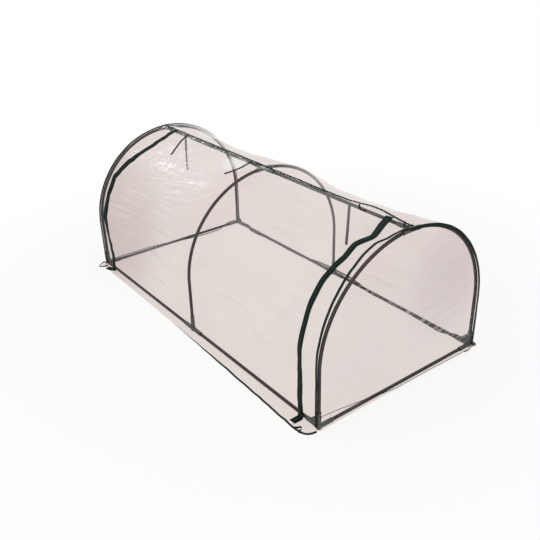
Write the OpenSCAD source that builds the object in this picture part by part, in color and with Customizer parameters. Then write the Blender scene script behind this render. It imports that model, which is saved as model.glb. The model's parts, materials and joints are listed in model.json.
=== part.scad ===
// Polytunnel greenhouse: three steel hoops on a rectangle of ground rails, a ridge pole,
// plastic push-fit connectors and a clear film cover with a zipped, roll-up front.
// The tunnel runs along X, its zipped front faces -Y and it stands on the plane z = 0.

/* [Frame] */
// Length between the centre-lines of the end hoops
tunnel_l = 2000; // [1400:10:3000]
// Width between the centre-lines of the side rails
tunnel_w = 984; // [800:2:1200]
// Height at which the straight hoop legs start to bend
leg_h = 285; // [200:5:500]
// Outer diameter of the steel tubes
tube_d = 16; // [13:0.5:20]
// Wall thickness of the steel tubes
tube_wall = 0.8; // [0.6:0.1:1.2]
// Angle up the bend where a leg plugs into the arc above it
joint_angle = 36; // [20:1:60]
// Length of the swaged leg end inside the arc
swage_l = 35; // [20:1:50]
// Clearance around the swaged end
swage_fit = 0.1; // [0.05:0.05:0.3]

/* [Connectors] */
// Wall thickness of the plastic sockets
socket_wall = 2.3; // [1.5:0.1:4]
// Clearance around a tube in its socket
socket_fit = 0.2; // [0.1:0.05:0.4]
// Reach of a straight socket from the centre of its joint
socket_l = 75; // [60:1:100]
// Depth that a tube goes into a straight socket
insert_l = 50; // [30:1:55]
// Step from the ridge sleeves down to the pole sockets
pole_step = 0.5; // [0.3:0.1:0.8]
// Reach of the curved ridge sleeves to either side
sleeve_l = 50; // [36:1:80]
// Depth that an arc goes into its ridge sleeve
sleeve_insert_l = 36; // [20:1:36]
// Thickness of the gusset webs
web_t = 4; // [2:0.5:6]
// Reach of the corner gussets along rail and leg
corner_web = 68; // [50:1:75]
// Reach of the gussets on the middle rail tees
tee_web = 40; // [25:1:60]
// Diameter of the peg hole through a corner gusset
peg_hole_d = 6; // [3:0.5:8]
// Place of the peg hole along the rail, from the leg
peg_hole_x = 32; // [22:1:36]
// Place of the peg hole above the rail
peg_hole_z = 22; // [18:1:26]

/* [Cover] */
// Thickness of the film
film_t = 2; // [1:0.1:4]
// Clearance between the cover and what carries it
seat_gap = 0.3; // [0.1:0.1:1]
// Depth that the film pulls in half-way between two hoops
bay_sag = 55; // [0:1:80]
// Radius at which the film turns outwards on the ground
skirt_bend = 10; // [6:1:20]
// Width of the ground skirt at the left end
skirt_left = 18; // [15:1:120]
// Width of the ground skirt at the right end
skirt_right = 62; // [15:1:120]
// Width of the ground skirts below the end panels
skirt_end = 16; // [14:1:80]
// Gap under the ridge seam between the door and the back sheet
seam_gap = 2; // [1:0.5:5]

/* [Zips and bindings] */
// Distance of the zips from the end hoops
zip_inset = 128; // [115:1:250]
// Sideways drift of the left zip on the slack film
left_zip_drift = 72; // [0:1:80]
// Sideways drift of the right zip on the slack film
right_zip_drift = 56; // [0:1:60]
// Width of the zip tape
zip_w = 36; // [20:1:44]
// Thickness of the zip tape
zip_t = 1.2; // [0.8:0.1:2]
// Width of the zip's row of teeth
chain_w = 6; // [4:0.5:8]
// Height of the teeth above the tape
chain_h = 1.6; // [1:0.1:3]
// Length of a zip slider
slider_l = 16; // [10:1:24]
// Length of the pull tab
pull_l = 26; // [15:1:40]
// Width of the sewn binding tapes
binding_w = 12; // [8:1:20]
// Thickness of the sewn binding tapes
binding_t = 1.2; // [0.8:0.1:2]
// Distance that the right end seam has slipped in over its hoop
seam_slip = 25; // [0:1:40]

/* [Ties] */
// Width of the flat tie tapes
tie_w = 14; // [4:0.5:20]
// Thickness of the flat tie tapes
tie_t = 1.4; // [1:0.1:3]
// Length of the ties that hang inside
tie_hang = 211; // [100:1:250]
// Length round the hoop that the ties on the film reach down from the ridge
tie_reach = 188; // [120:1:220]

/* [Hidden] */
$fn = 48;

TUBE = "#4c4442";
CONNECTOR = "#59635f";
FILM = [0.90, 0.86, 0.84, 0.35];
TAPE = "#1b2a24";
METAL = "#8b9090";

half_l = tunnel_l / 2;
arc_r = tunnel_w / 2;
ridge_z = leg_h + arc_r;
tube_bore = tube_d - 2 * tube_wall;
swage_d = tube_bore - 2 * swage_fit;
socket_bore = tube_d + 2 * socket_fit;
socket_od = socket_bore + 2 * socket_wall;
pole_socket_od = socket_od - 2 * pole_step;
rail_z = socket_od / 2;
cut = 1;

// Distance from a joint's centre to the end of a tube, and to the floor of its socket
tube_start = socket_l - insert_l;
bore_start = tube_start - seat_gap;

// Angle that a length takes up on the hoop's bend
function bend_angle(l) = l / arc_r * 180 / PI;

// The film's stations round the tunnel: s is the length along a hoop from the ridge, less than 0 at the front
arc_steps = 20;
leg_steps = 4;
bend_steps = 3;
facet_slack = (arc_r + socket_od / 2) * (1 - cos(45 / arc_steps));
film_in = socket_od / 2 + seat_gap + facet_slack;
film_mid = film_in + film_t / 2;
end_in = half_l + socket_od / 2 + seat_gap;
end_out = end_in + film_t;
hoop_rest = socket_od / 2 + 1.5;
skirt_z = seat_gap + film_t / 2;
bend_z = skirt_z + skirt_bend;
s_arc = arc_r * PI / 2;
s_wall = s_arc + leg_h - bend_z;
s_bend = skirt_bend * PI / 2;

// Lies from 0 at a hoop to 1 half-way to the next
function bay(x) = max(0, 1 - pow((abs(x) - half_l / 2) / (half_l / 2 - hoop_rest), 2));
// Width of the ground skirt, which grows from the left end to the right
function skirt_w(x) = skirt_left + (skirt_right - skirt_left) * pow((x + end_out) / (2 * end_out), 2);

// A station is [y, z, normal y, normal z, share of the sag, s, share of the skirt's width]
function wall_station(s) =
    let (
        side = s < 0 ? -1 : 1,
        l = abs(s),
        a = min(90, bend_angle(l)),
        r = arc_r + film_mid
    )
    [side * r * sin(a), leg_h + r * cos(a) - max(0, l - s_arc), side * sin(a), cos(a),
        sin(180 * l / s_wall), s, 0];
function bend_station(side, b) = [
    side * (arc_r + film_mid + skirt_bend * (1 - cos(b))), skirt_z + skirt_bend * (1 - sin(b)),
    side * cos(b), sin(b), 0, side * (s_wall + s_bend * b / 90), 0];
function skirt_station(side, back_off = 0) = [
    side * (arc_r + film_mid + skirt_bend - back_off), skirt_z, 0, 1, 0, side * (s_wall + s_bend), 1];

function wall_run(side, start) = [
    for (i = [0:arc_steps]) wall_station(side * max(start, s_arc * i / arc_steps)),
    for (i = [1:leg_steps]) wall_station(side * (s_arc + (s_wall - s_arc) * i / leg_steps))];
function ground_run(side, back_off = 0) = [
    for (i = [1:bend_steps]) bend_station(side, 90 * i / bend_steps), skirt_station(side, back_off)];
function turned(list) = [for (i = [len(list) - 1:-1:0]) list[i]];
function half_run(side, start, back_off = 0) =
    let (run = concat(wall_run(side, start), ground_run(side, back_off))) side < 0 ? turned(run) : run;

// A point of the cover at x, off outside the film's middle surface
function cover_point(x, p, off) =
    let (
        d = off - bay_sag * bay(x) * p[4],
        reach = p[6] * skirt_w(x) * sign(p[5])
    )
    [x, p[0] + reach + d * p[2], p[1] + d * p[3]];

// A curved sheet through the stations, with its columns at columns(s) along X, its underside at low
// and its top at the column's own entry of high, both outside the film's middle surface
module sheet(stations, columns, low, high) {
    n = len(stations);
    m = len(high);
    points = [
        for (p = stations) let (c = columns(p[5])) for (i = [0:m - 1]) cover_point(c[i], p, high[i]),
        for (p = stations) let (c = columns(p[5])) for (i = [0:m - 1]) cover_point(c[i], p, low)];
    top = function (j, i) j * m + i;
    under = function (j, i) n * m + j * m + i;
    faces = [
        for (j = [0:n - 2], i = [0:m - 2]) each [
            [top(j, i), top(j + 1, i), top(j + 1, i + 1)], [top(j, i), top(j + 1, i + 1), top(j, i + 1)],
            [under(j, i), under(j, i + 1), under(j + 1, i + 1)],
            [under(j, i), under(j + 1, i + 1), under(j + 1, i)]],
        for (i = [0:m - 2]) each [
            [top(0, i), top(0, i + 1), under(0, i + 1)], [top(0, i), under(0, i + 1), under(0, i)],
            [top(n - 1, i + 1), top(n - 1, i), under(n - 1, i)],
            [top(n - 1, i + 1), under(n - 1, i), under(n - 1, i + 1)]],
        for (j = [0:n - 2]) each [
            [top(j + 1, 0), top(j, 0), under(j, 0)], [top(j + 1, 0), under(j, 0), under(j + 1, 0)],
            [top(j, m - 1), top(j + 1, m - 1), under(j + 1, m - 1)],
            [top(j, m - 1), under(j + 1, m - 1), under(j, m - 1)]]];
    polyhedron(points, faces, convexity = 6);
}

module film_sheet(stations, columns) {
    count = len(columns(0));
    color(FILM) sheet(stations, columns, -film_t / 2, [for (i = [1:count]) film_t / 2]);
}

// A tape laid on the film, seat_gap clear of it
tape_low = film_t / 2 + seat_gap;
module tape(stations, columns, t) {
    count = len(columns(0));
    color(TAPE) sheet(stations, columns, tape_low, [for (i = [1:count]) tape_low + t]);
}

// Tubes

module tube(l) {
    difference() {
        cylinder(d = tube_d, h = l);
        translate([0, 0, -cut]) cylinder(d = tube_bore, h = l + 2 * cut);
    }
}

// A length of pipe bent to the hoop's radius, in the plane of a hoop
module bent_pipe(from, to, outer, inner) {
    rotate([0, 0, from]) rotate_extrude(angle = to - from) translate([arc_r, 0]) difference() {
        circle(d = outer);
        circle(d = inner);
    }
}

// Sets a shape drawn with X across the tunnel and Y up into the plane of the hoop at x
module in_hoop(x, side) {
    mirror([0, side < 0 ? 1 : 0, 0]) translate([x, 0, leg_h]) rotate([90, 0, 90]) children();
}

leg_foot = rail_z + tube_start;
shoulder_angle = bend_angle(3);

// A solid rod bent to the hoop's radius, in the plane of a hoop
module bent_rod(from, to, d) {
    rotate([0, 0, from]) rotate_extrude(angle = to - from) translate([arc_r, 0]) circle(d = d);
}

// A straight rod on a leg's axis, from and to measured up from the start of the bend
module leg_rod(from, to, d) {
    translate([arc_r, from, 0]) rotate([-90, 0, 0]) cylinder(d = d, h = to - from);
}

// Half the length and the bore of the inner bead where a leg starts to bend
bead_l = 3;
bead_bore = tube_bore - tube_wall;

// A straight leg with the foot of the bend, and a swaged end that plugs into the arc above
module leg(x, side) {
    foot = leg_foot - leg_h;
    shoulder = joint_angle - shoulder_angle;
    tip = joint_angle + bend_angle(swage_l);
    over = bend_angle(cut);
    color(TUBE) in_hoop(x, side) difference() {
        union() {
            leg_rod(foot, 0, tube_d);
            leg_rod(-bead_l, bead_l, tube_d - tube_wall);
            bent_rod(0, joint_angle, tube_d);
            bent_rod(shoulder, tip, swage_d);
        }
        leg_rod(foot - cut, -bead_l / 2, tube_bore);
        leg_rod(-bead_l, bead_l, bead_bore);
        bent_rod(bend_angle(bead_l / 2), shoulder, tube_bore);
        bent_rod(shoulder - over, tip + over, swage_d - 2 * tube_wall);
    }
}

// The arc from a leg's joint to the ridge
module arc(x, side) {
    color(TUBE) in_hoop(x, side)
        bent_pipe(joint_angle + bend_angle(seat_gap), 90 - bend_angle(sleeve_l - sleeve_insert_l), tube_d, tube_bore);
}

// A rail or pole along X between the joints at x = from and x = to
module long_tube(from, to, y, z) {
    color(TUBE) translate([from + tube_start, y, z]) rotate([0, 90, 0]) tube(to - from - 2 * tube_start);
}

module end_rail(x) {
    color(TUBE) translate([x, tube_start - arc_r, rail_z]) rotate([-90, 0, 0]) tube(tunnel_w - 2 * tube_start);
}

// Connectors

module socket() {
    cylinder(d = socket_od, h = socket_l);
}

module socket_hole() {
    translate([0, 0, bore_start]) cylinder(d = socket_bore, h = socket_l - bore_start + cut);
}

// A triangular web between a rail along +X and a leg along +Z
module gusset(reach) {
    translate([0, web_t / 2, 0]) rotate([90, 0, 0]) linear_extrude(web_t)
        polygon([[0, 0], [reach, 0], [0, reach]]);
}

// Three-way ground corner, drawn with its rails along +X and +Y
module corner_shape() {
    difference() {
        union() {
            socket();
            rotate([0, 90, 0]) socket();
            rotate([-90, 0, 0]) socket();
            translate([0, 0, -rail_z]) cylinder(d = socket_od, h = rail_z);
            gusset(corner_web);
        }
        socket_hole();
        rotate([0, 90, 0]) socket_hole();
        rotate([-90, 0, 0]) socket_hole();
        translate([peg_hole_x, web_t / 2 + cut, peg_hole_z]) rotate([90, 0, 0])
            cylinder(d = peg_hole_d, h = web_t + 2 * cut);
    }
}

// The corner at x, y with its rails leading inwards
module corner(x_side, y_side) {
    color(CONNECTOR) mirror([x_side > 0 ? 1 : 0, 0, 0]) mirror([0, y_side > 0 ? 1 : 0, 0])
        translate([-half_l, -arc_r, rail_z]) corner_shape();
}

// Ground tee for the middle hoop, with a web to either side of the leg
module rail_tee(side) {
    color(CONNECTOR) translate([0, side * arc_r, rail_z]) difference() {
        union() {
            socket();
            for (turn = [-90, 90]) rotate([0, turn, 0]) socket();
            translate([0, 0, -rail_z]) cylinder(d = socket_od, h = rail_z);
            for (flip = [0, 1]) mirror([flip, 0, 0]) gusset(tee_web);
        }
        socket_hole();
        for (turn = [-90, 90]) rotate([0, turn, 0]) socket_hole();
    }
}

// Curved sleeve over the top of the hoop at x, with one straight pipe through it that holds the ridge
// poles: it reaches left along -X and right along +X
module ridge_connector(x, left, right) {
    reach = bend_angle(sleeve_l);
    stop = bend_angle(sleeve_l - sleeve_insert_l - seat_gap);
    over = bend_angle(cut);
    color(CONNECTOR) difference() {
        union() {
            in_hoop(x, 1) bent_rod(90 - reach, 90 + reach, socket_od);
            translate([x - left, 0, ridge_z]) rotate([0, 90, 0]) cylinder(d = pole_socket_od, h = left + right);
        }
        in_hoop(x, 1) {
            bent_rod(90 - reach - over, 90 - stop, socket_bore);
            bent_rod(90 + stop, 90 + reach + over, socket_bore);
        }
        translate([x, 0, ridge_z]) {
            if (left > 0) rotate([0, -90, 0]) socket_hole();
            if (right > 0) rotate([0, 90, 0]) socket_hole();
        }
    }
}

// Film cover

// Centre-line of each zip along X at the length s round the tunnel
function left_zip_x(s) = zip_inset - half_l + left_zip_drift * lookup(abs(s) / s_wall, left_zip_wander);
function right_zip_x(s) = half_l - zip_inset + right_zip_drift * lookup(abs(s) / s_wall, right_zip_wander);

// Share of its drift that a zip has taken up, by the share of the way from the ridge to the foot of the wall
left_zip_wander = [
    [0, 0.01], [0.1, 0.6], [0.17, 0.51], [0.24, 0.22], [0.3, -0.07], [0.35, -0.4], [0.41, -0.7], [0.45, -0.94],
    [0.51, -0.82], [0.58, -0.86], [0.69, -1], [0.79, -0.73], [0.86, -0.53], [0.93, -0.32], [1.02, -0.06]];
right_zip_wander = [
    [0, 0.2], [0.045, 0.45], [0.138, 1], [0.207, 0.34], [0.269, 0.41], [0.341, 0.07], [0.391, -0.11],
    [0.488, -0.18], [0.582, -0.11], [0.685, -0.1], [0.756, 0.04], [0.913, 0.27], [0.975, 0.38], [1.02, 0.45]];

bay_columns = 7;
// Film kept smooth beside a zip's edge
zip_rest = 0.6 * zip_w;
// Most of a strip's width that the hoop's rest and the zip's rest may take
hoop_share = 0.4;
zip_share = 0.3;
// Columns from a zip's edge at from to one at to, with one on either side of the middle hoop
function door_columns(from, to) =
    let (in = zip_rest) concat(
        [from],
        [for (i = [0:bay_columns]) from + in + (-hoop_rest - from - in) * i / bay_columns],
        [for (i = [0:bay_columns]) hoop_rest + (to - in - hoop_rest) * i / bay_columns],
        [to]);
// Columns from the outer edge of the cover at edge to a zip's edge at to
function strip_columns(edge, to) =
    let (
        w = abs(to - edge),
        way = sign(to - edge),
        rest = min(end_out - half_l + hoop_rest, hoop_share * w),
        in = min(zip_rest, zip_share * w),
        list = [edge, edge + way * rest, edge + way * (rest + w - in) / 2, to - way * in, to]
    )
    way > 0 ? list : turned(list);
function back_columns() = concat([-end_out], door_columns(hoop_rest - half_l, half_l - hoop_rest), [end_out]);

module back_sheet() {
    film_sheet(half_run(1, seam_gap / 2), function (s) back_columns());
}

module front_door() {
    film_sheet(half_run(-1, seam_gap / 2),
        function (s) door_columns(left_zip_x(s) + chain_w / 2, right_zip_x(s) - chain_w / 2));
}

module left_front_strip() {
    film_sheet(half_run(-1, seam_gap / 2), function (s) strip_columns(-end_out, left_zip_x(s) - chain_w / 2));
}

module right_front_strip() {
    film_sheet(half_run(-1, seam_gap / 2), function (s) strip_columns(end_out, right_zip_x(s) + chain_w / 2));
}

// Flat D-shaped end with a skirt turned outwards at its foot
module end_panel(side) {
    half = arc_r + socket_od / 2;
    color(FILM) mirror([side < 0 ? 1 : 0, 0, 0]) {
        translate([end_in, 0, 0]) rotate([90, 0, 90]) linear_extrude(film_t) {
            intersection() {
                translate([0, leg_h]) circle(r = half, $fn = 96);
                translate([-half, leg_h]) square([2 * half, half]);
            }
            translate([-half, bend_z]) square([2 * half, leg_h - bend_z]);
        }
        translate([0, half, 0]) rotate([90, 0, 0]) linear_extrude(2 * half) {
            intersection() {
                translate([end_in + film_t / 2 + skirt_bend, bend_z]) difference() {
                    circle(r = skirt_bend + film_t / 2);
                    circle(r = skirt_bend - film_t / 2);
                }
                translate([end_in, 0]) square([skirt_bend + film_t / 2, bend_z]);
            }
            translate([end_in + film_t / 2 + skirt_bend, skirt_z - film_t / 2]) square([skirt_end, film_t]);
        }
    }
}

// Zips

// A tape with a raised row of teeth, over the gap between the door and the strip beside it
module zip_band(centre) {
    flank = 0.3;
    high = tape_low + zip_t;
    crest = high + chain_h;
    across = [-zip_w / 2, -chain_w / 2 - flank, -chain_w / 2, chain_w / 2, chain_w / 2 + flank, zip_w / 2];
    color(TAPE) sheet(half_run(-1, binding_w / 2 + seat_gap, binding_w + seat_gap),
        function (s) [for (d = across) centre(s) + d], tape_low, [high, high, crest, crest, high, high]);
}

// Slider body and pull tab, near the foot of a zip
module slider(centre) {
    s = s_wall - slider_l;
    x = centre(s);
    at = cover_point(x, wall_station(-s), tape_low + zip_t + chain_h + seat_gap);
    body_w = 1.6 * chain_w;
    body_t = 0.6 * chain_w;
    color(METAL) translate(at) {
        translate([-body_w / 2, -body_t, -slider_l / 2]) cube([body_w, body_t, slider_l]);
        translate([0, -body_t, slider_l / 4]) rotate([90, 0, 0]) linear_extrude(zip_t) difference() {
            translate([-body_w / 3, -pull_l]) square([body_w * 2 / 3, pull_l]);
            translate([0, -pull_l * 0.8]) circle(d = body_w / 3);
        }
    }
}

module zip_sliders() {
    slider(function (s) left_zip_x(s));
    slider(function (s) right_zip_x(s));
}

// Bindings

module ridge_binding() {
    w = binding_w / 2;
    tape([wall_station(-w), wall_station(0), wall_station(w)], function (s)
        concat([-end_out + binding_w + seat_gap],
            door_columns(hoop_rest - half_l + binding_w, half_l - hoop_rest - binding_w - seam_slip),
            [end_out - binding_w - seat_gap]), binding_t);
}

// Distance that the right end seam lies in from the edge: only over the front shoulder
slip_start = 0.04;
slip_end = 0.5;
function slip(s) =
    let (q = (-s / s_wall - slip_start) / (slip_end - slip_start)) q > 0 && q < 1 ? seam_slip * sin(180 * q) : 0;

module end_bindings() {
    round_hoop = concat(turned(wall_run(-1, seam_gap / 2)), wall_run(1, seam_gap / 2));
    tape(round_hoop, function (s) [-end_out, binding_w - end_out], binding_t);
    tape(round_hoop, function (s) [end_out - binding_w - slip(s), end_out - slip(s)], binding_t);
}

module hem_bindings() {
    for (side = [-1, 1]) {
        hem = [skirt_station(side, binding_w), skirt_station(side)];
        tape(side < 0 ? turned(hem) : hem, function (s) back_columns(), binding_t);
    }
    x = end_out - film_t / 2 + skirt_bend + skirt_end - binding_w;
    half = arc_r + socket_od / 2;
    color(TAPE) for (flip = [0, 1]) mirror([flip, 0, 0])
        translate([x, -half, skirt_z + tape_low]) cube([binding_w, 2 * half, binding_t]);
}

// Ties

// A tie on the film passes through places given as [share of the half length, share of the ties' reach]
tie_left_outer_places = [
    [-0.730, 0], [-0.716, 0.14], [-0.700, 0.30], [-0.684, 0.45], [-0.668, 0.61], [-0.655, 0.77], [-0.646, 0.90],
    [-0.640, 1]];
tie_mid_outer_places = [
    [-0.096, 0], [-0.088, 0.13], [-0.082, 0.28], [-0.080, 0.42], [-0.084, 0.55], [-0.094, 0.68], [-0.107, 0.78],
    [-0.122, 0.88]];
tie_right_outer_places = [
    [0.706, 0], [0.716, 0.07], [0.730, 0.13], [0.746, 0.17], [0.762, 0.18], [0.777, 0.16]];
tie_rest = film_t / 2 + tie_t / 2 + 2 * seat_gap;
tie_start = binding_w / 2 + tie_t + seat_gap;
function on_film(places) = [
    for (p = places) cover_point(p[0] * half_l, wall_station(-tie_start - p[1] * (tie_reach - tie_start)), tie_rest)];

// A tie inside hangs beside the ridge pole at a share of the half length, in steps given as shares of
// its length: [sideways drift, drop]
tie_left_inner_drops = [
    [0, 0], [-0.01, 0.10], [-0.024, 0.24], [-0.038, 0.41], [-0.047, 0.57], [-0.052, 0.74], [-0.047, 0.91], [-0.043, 1]];
tie_right_inner_drops = [
    [0, 0], [-0.005, 0.095], [-0.014, 0.24], [-0.024, 0.40], [-0.033, 0.57], [-0.043, 0.73], [-0.057, 0.88],
    [-0.066, 1]];
hang_s = tube_d / 2 + 4 * tie_t;
function hung(share, drops) =
    let (top = cover_point(share * half_l, wall_station(-hang_s), -tie_rest))
    [for (d = drops) top + tie_hang * [d[0], 0, -d[1]]];

tie_sides = 8;

// A flat tape swept along the route, its width kept as near to X as the route allows
module tie(route) {
    n = len(route);
    rings = [for (i = [0:n - 1])
        let (
            ahead = route[min(i + 1, n - 1)] - route[max(i - 1, 0)],
            along = ahead / norm(ahead),
            face = cross(along, [1, 0, 0]),
            depth = face / norm(face),
            wide = cross(depth, along)
        )
        for (k = [0:tie_sides - 1])
            let (a = 360 * (k + 0.5) / tie_sides)
            route[i] + wide * (tie_w / 2 * cos(a)) + depth * (tie_t / 2 * sin(a))];
    at = function (i, k) i * tie_sides + (k % tie_sides);
    faces = [
        [for (k = [0:tie_sides - 1]) at(0, k)],
        [for (k = [tie_sides - 1:-1:0]) at(n - 1, k)],
        for (i = [0:n - 2], k = [0:tie_sides - 1]) each [
            [at(i, k), at(i + 1, k), at(i + 1, k + 1)], [at(i, k), at(i + 1, k + 1), at(i, k + 1)]]];
    color(TAPE) polyhedron(rings, faces, convexity = 4);
}

leg(-half_l, -1);  // left_front_leg
leg(-half_l, 1);  // left_back_leg
leg(0, -1);  // mid_front_leg
leg(0, 1);  // mid_back_leg
leg(half_l, -1);  // right_front_leg
leg(half_l, 1);  // right_back_leg
arc(-half_l, -1);  // left_front_arc
arc(-half_l, 1);  // left_back_arc
arc(0, -1);  // mid_front_arc
arc(0, 1);  // mid_back_arc
arc(half_l, -1);  // right_front_arc
arc(half_l, 1);  // right_back_arc
long_tube(-half_l, 0, -arc_r, rail_z);  // front_left_rail
long_tube(0, half_l, -arc_r, rail_z);  // front_right_rail
long_tube(-half_l, 0, arc_r, rail_z);  // back_left_rail
long_tube(0, half_l, arc_r, rail_z);  // back_right_rail
end_rail(-half_l);  // left_end_rail
end_rail(half_l);  // right_end_rail
long_tube(-half_l, 0, 0, ridge_z);  // left_ridge_pole
long_tube(0, half_l, 0, ridge_z);  // right_ridge_pole
corner(-1, -1);  // front_left_corner
corner(1, -1);  // front_right_corner
corner(-1, 1);  // back_left_corner
corner(1, 1);  // back_right_corner
rail_tee(-1);  // front_rail_tee
rail_tee(1);  // back_rail_tee
ridge_connector(-half_l, 0, socket_l);  // left_ridge_tee
ridge_connector(half_l, socket_l, 0);  // right_ridge_tee
ridge_connector(0, socket_l, socket_l);  // ridge_cross
back_sheet();
front_door();
left_front_strip();
right_front_strip();
end_panel(-1);  // left_end_panel
end_panel(1);  // right_end_panel
zip_band(function (s) left_zip_x(s));  // left_zip
zip_band(function (s) right_zip_x(s));  // right_zip
zip_sliders();
ridge_binding();
end_bindings();
hem_bindings();
tie(on_film(tie_left_outer_places));  // tie_left_outer
tie(hung(-0.746, tie_left_inner_drops));  // tie_left_inner
tie(on_film(tie_mid_outer_places));  // tie_mid_outer
tie(hung(0.630, tie_right_inner_drops));  // tie_right_inner
tie(on_film(tie_right_outer_places));  // tie_right_outer
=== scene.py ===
"""Polytunnel greenhouse: clear film, zips, sewn bindings and ties over a frame of steel hoops.

Lengths are in metres, and the camera's angles in degrees.
"""

import json
import logging
import math
from dataclasses import dataclass
from enum import Enum
from typing import Callable, Dict, List, Optional, Sequence, Tuple

import bmesh
import bpy
from mathutils import Matrix, Vector, noise


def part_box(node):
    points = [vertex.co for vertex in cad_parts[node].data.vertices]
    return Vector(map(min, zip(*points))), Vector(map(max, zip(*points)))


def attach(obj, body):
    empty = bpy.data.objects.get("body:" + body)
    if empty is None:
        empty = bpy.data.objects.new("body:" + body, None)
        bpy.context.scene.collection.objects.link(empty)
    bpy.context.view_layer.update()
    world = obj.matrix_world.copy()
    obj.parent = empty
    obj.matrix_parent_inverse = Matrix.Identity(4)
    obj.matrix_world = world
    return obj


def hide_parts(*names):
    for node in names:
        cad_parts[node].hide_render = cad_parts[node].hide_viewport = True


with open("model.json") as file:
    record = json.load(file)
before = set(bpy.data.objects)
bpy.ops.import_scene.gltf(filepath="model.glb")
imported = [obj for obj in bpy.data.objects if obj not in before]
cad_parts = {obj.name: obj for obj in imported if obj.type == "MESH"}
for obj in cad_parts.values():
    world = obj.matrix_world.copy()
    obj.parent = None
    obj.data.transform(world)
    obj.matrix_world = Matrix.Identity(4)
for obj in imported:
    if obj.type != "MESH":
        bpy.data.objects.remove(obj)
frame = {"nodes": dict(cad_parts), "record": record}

LOG = logging.getLogger("polytunnel")
BODY = "root"
FREE = "free_film"
LOOSE = "loose_film"
# Distances from the tubes over which a film counts as free of them, and as hanging loose
FREE_FROM_TO = (0.015, 0.075)
LOOSE_FROM_TO = (0.05, 0.28)
GROUND_Z = 0.0003
Colour = Tuple[float, float, float, float]
Area = Tuple[float, float, float, float]
Grid = Callable[[float, float], Tuple[Vector, Tuple[float, float]]]
Edge = Callable[[float], float]
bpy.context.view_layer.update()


class Side(Enum):
    """The long sides of the tunnel, by the sign of Y."""

    FRONT = -1
    BACK = 1


class End(Enum):
    """The ends of the tunnel, by the sign of X."""

    LEFT = -1
    RIGHT = 1


def smooth_step(low: float, high: float, value: float) -> float:
    """Eases from 0 at low to 1 at high.

    Args:
        low: value that gives 0.
        high: value that gives 1.
        value: where to read the curve.

    Returns:
        A share from 0 to 1.
    """
    t = min(1.0, max(0.0, (value - low) / (high - low)))
    return t * t * (3.0 - 2.0 * t)


def bump_at(value: float, centre: float, reach: float) -> float:
    """A soft hump of height 1 at centre that has died out at reach to either side."""
    return math.exp(-(((value - centre) / (0.5 * reach)) ** 2))


def swell(x: float, y: float, z: float = 0.0) -> float:
    """Smooth seeded noise from -1 to 1."""
    return noise.noise(Vector((x, y, z)))


def crease(x: float, y: float, z: float = 0.0) -> float:
    """Noise folded at zero, so that it has sharp crests: from about -1 to 1 on the crests."""
    return 1.0 - 3.2 * abs(noise.noise(Vector((x, y, z))))


def through_knots(knots: Sequence[Tuple[float, float]], at: float) -> float:
    """Reads a curve that runs smoothly through knots.

    Args:
        knots: places and values, in order.
        at: place to read; outside the knots the end value holds.

    Returns:
        The value there.
    """
    if at <= knots[0][0]:
        return knots[0][1]
    for (a, low), (b, high) in zip(knots, knots[1:]):
        if at <= b:
            t = (at - a) / (b - a)
            return low + (high - low) * (0.5 * t + 0.5 * smooth_step(0.0, 1.0, t))
    return knots[-1][1]


# Where the zips lie along X, by the share of the way from the ridge to the foot of the wall
LEFT_ZIP_KNOTS = (
    (0.0, -0.871), (0.10, -0.829), (0.17, -0.835), (0.24, -0.856), (0.30, -0.877), (0.35, -0.901),
    (0.41, -0.922), (0.45, -0.940), (0.51, -0.931), (0.58, -0.934), (0.69, -0.944), (0.79, -0.925),
    (0.86, -0.910), (0.93, -0.896), (1.0, -0.893), (1.35, -0.925), (1.8, -0.955))
RIGHT_ZIP_KNOTS = (
    (0.0, 0.883), (0.045, 0.897), (0.138, 0.928), (0.207, 0.891), (0.269, 0.895), (0.341, 0.876),
    (0.391, 0.866), (0.488, 0.862), (0.582, 0.866), (0.685, 0.866), (0.756, 0.874), (0.913, 0.887),
    (0.975, 0.893), (1.02, 0.897))
# How far the right end seam has slipped in over its hoop, by the same share
RIGHT_SEAM_KNOTS = (
    (0.0, 0.0), (0.04, 0.012), (0.12, 0.018), (0.17, 0.041), (0.23, 0.041), (0.29, 0.037),
    (0.42, 0.029), (0.50, 0.025), (0.62, 0.019), (0.75, 0.0145))


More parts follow.
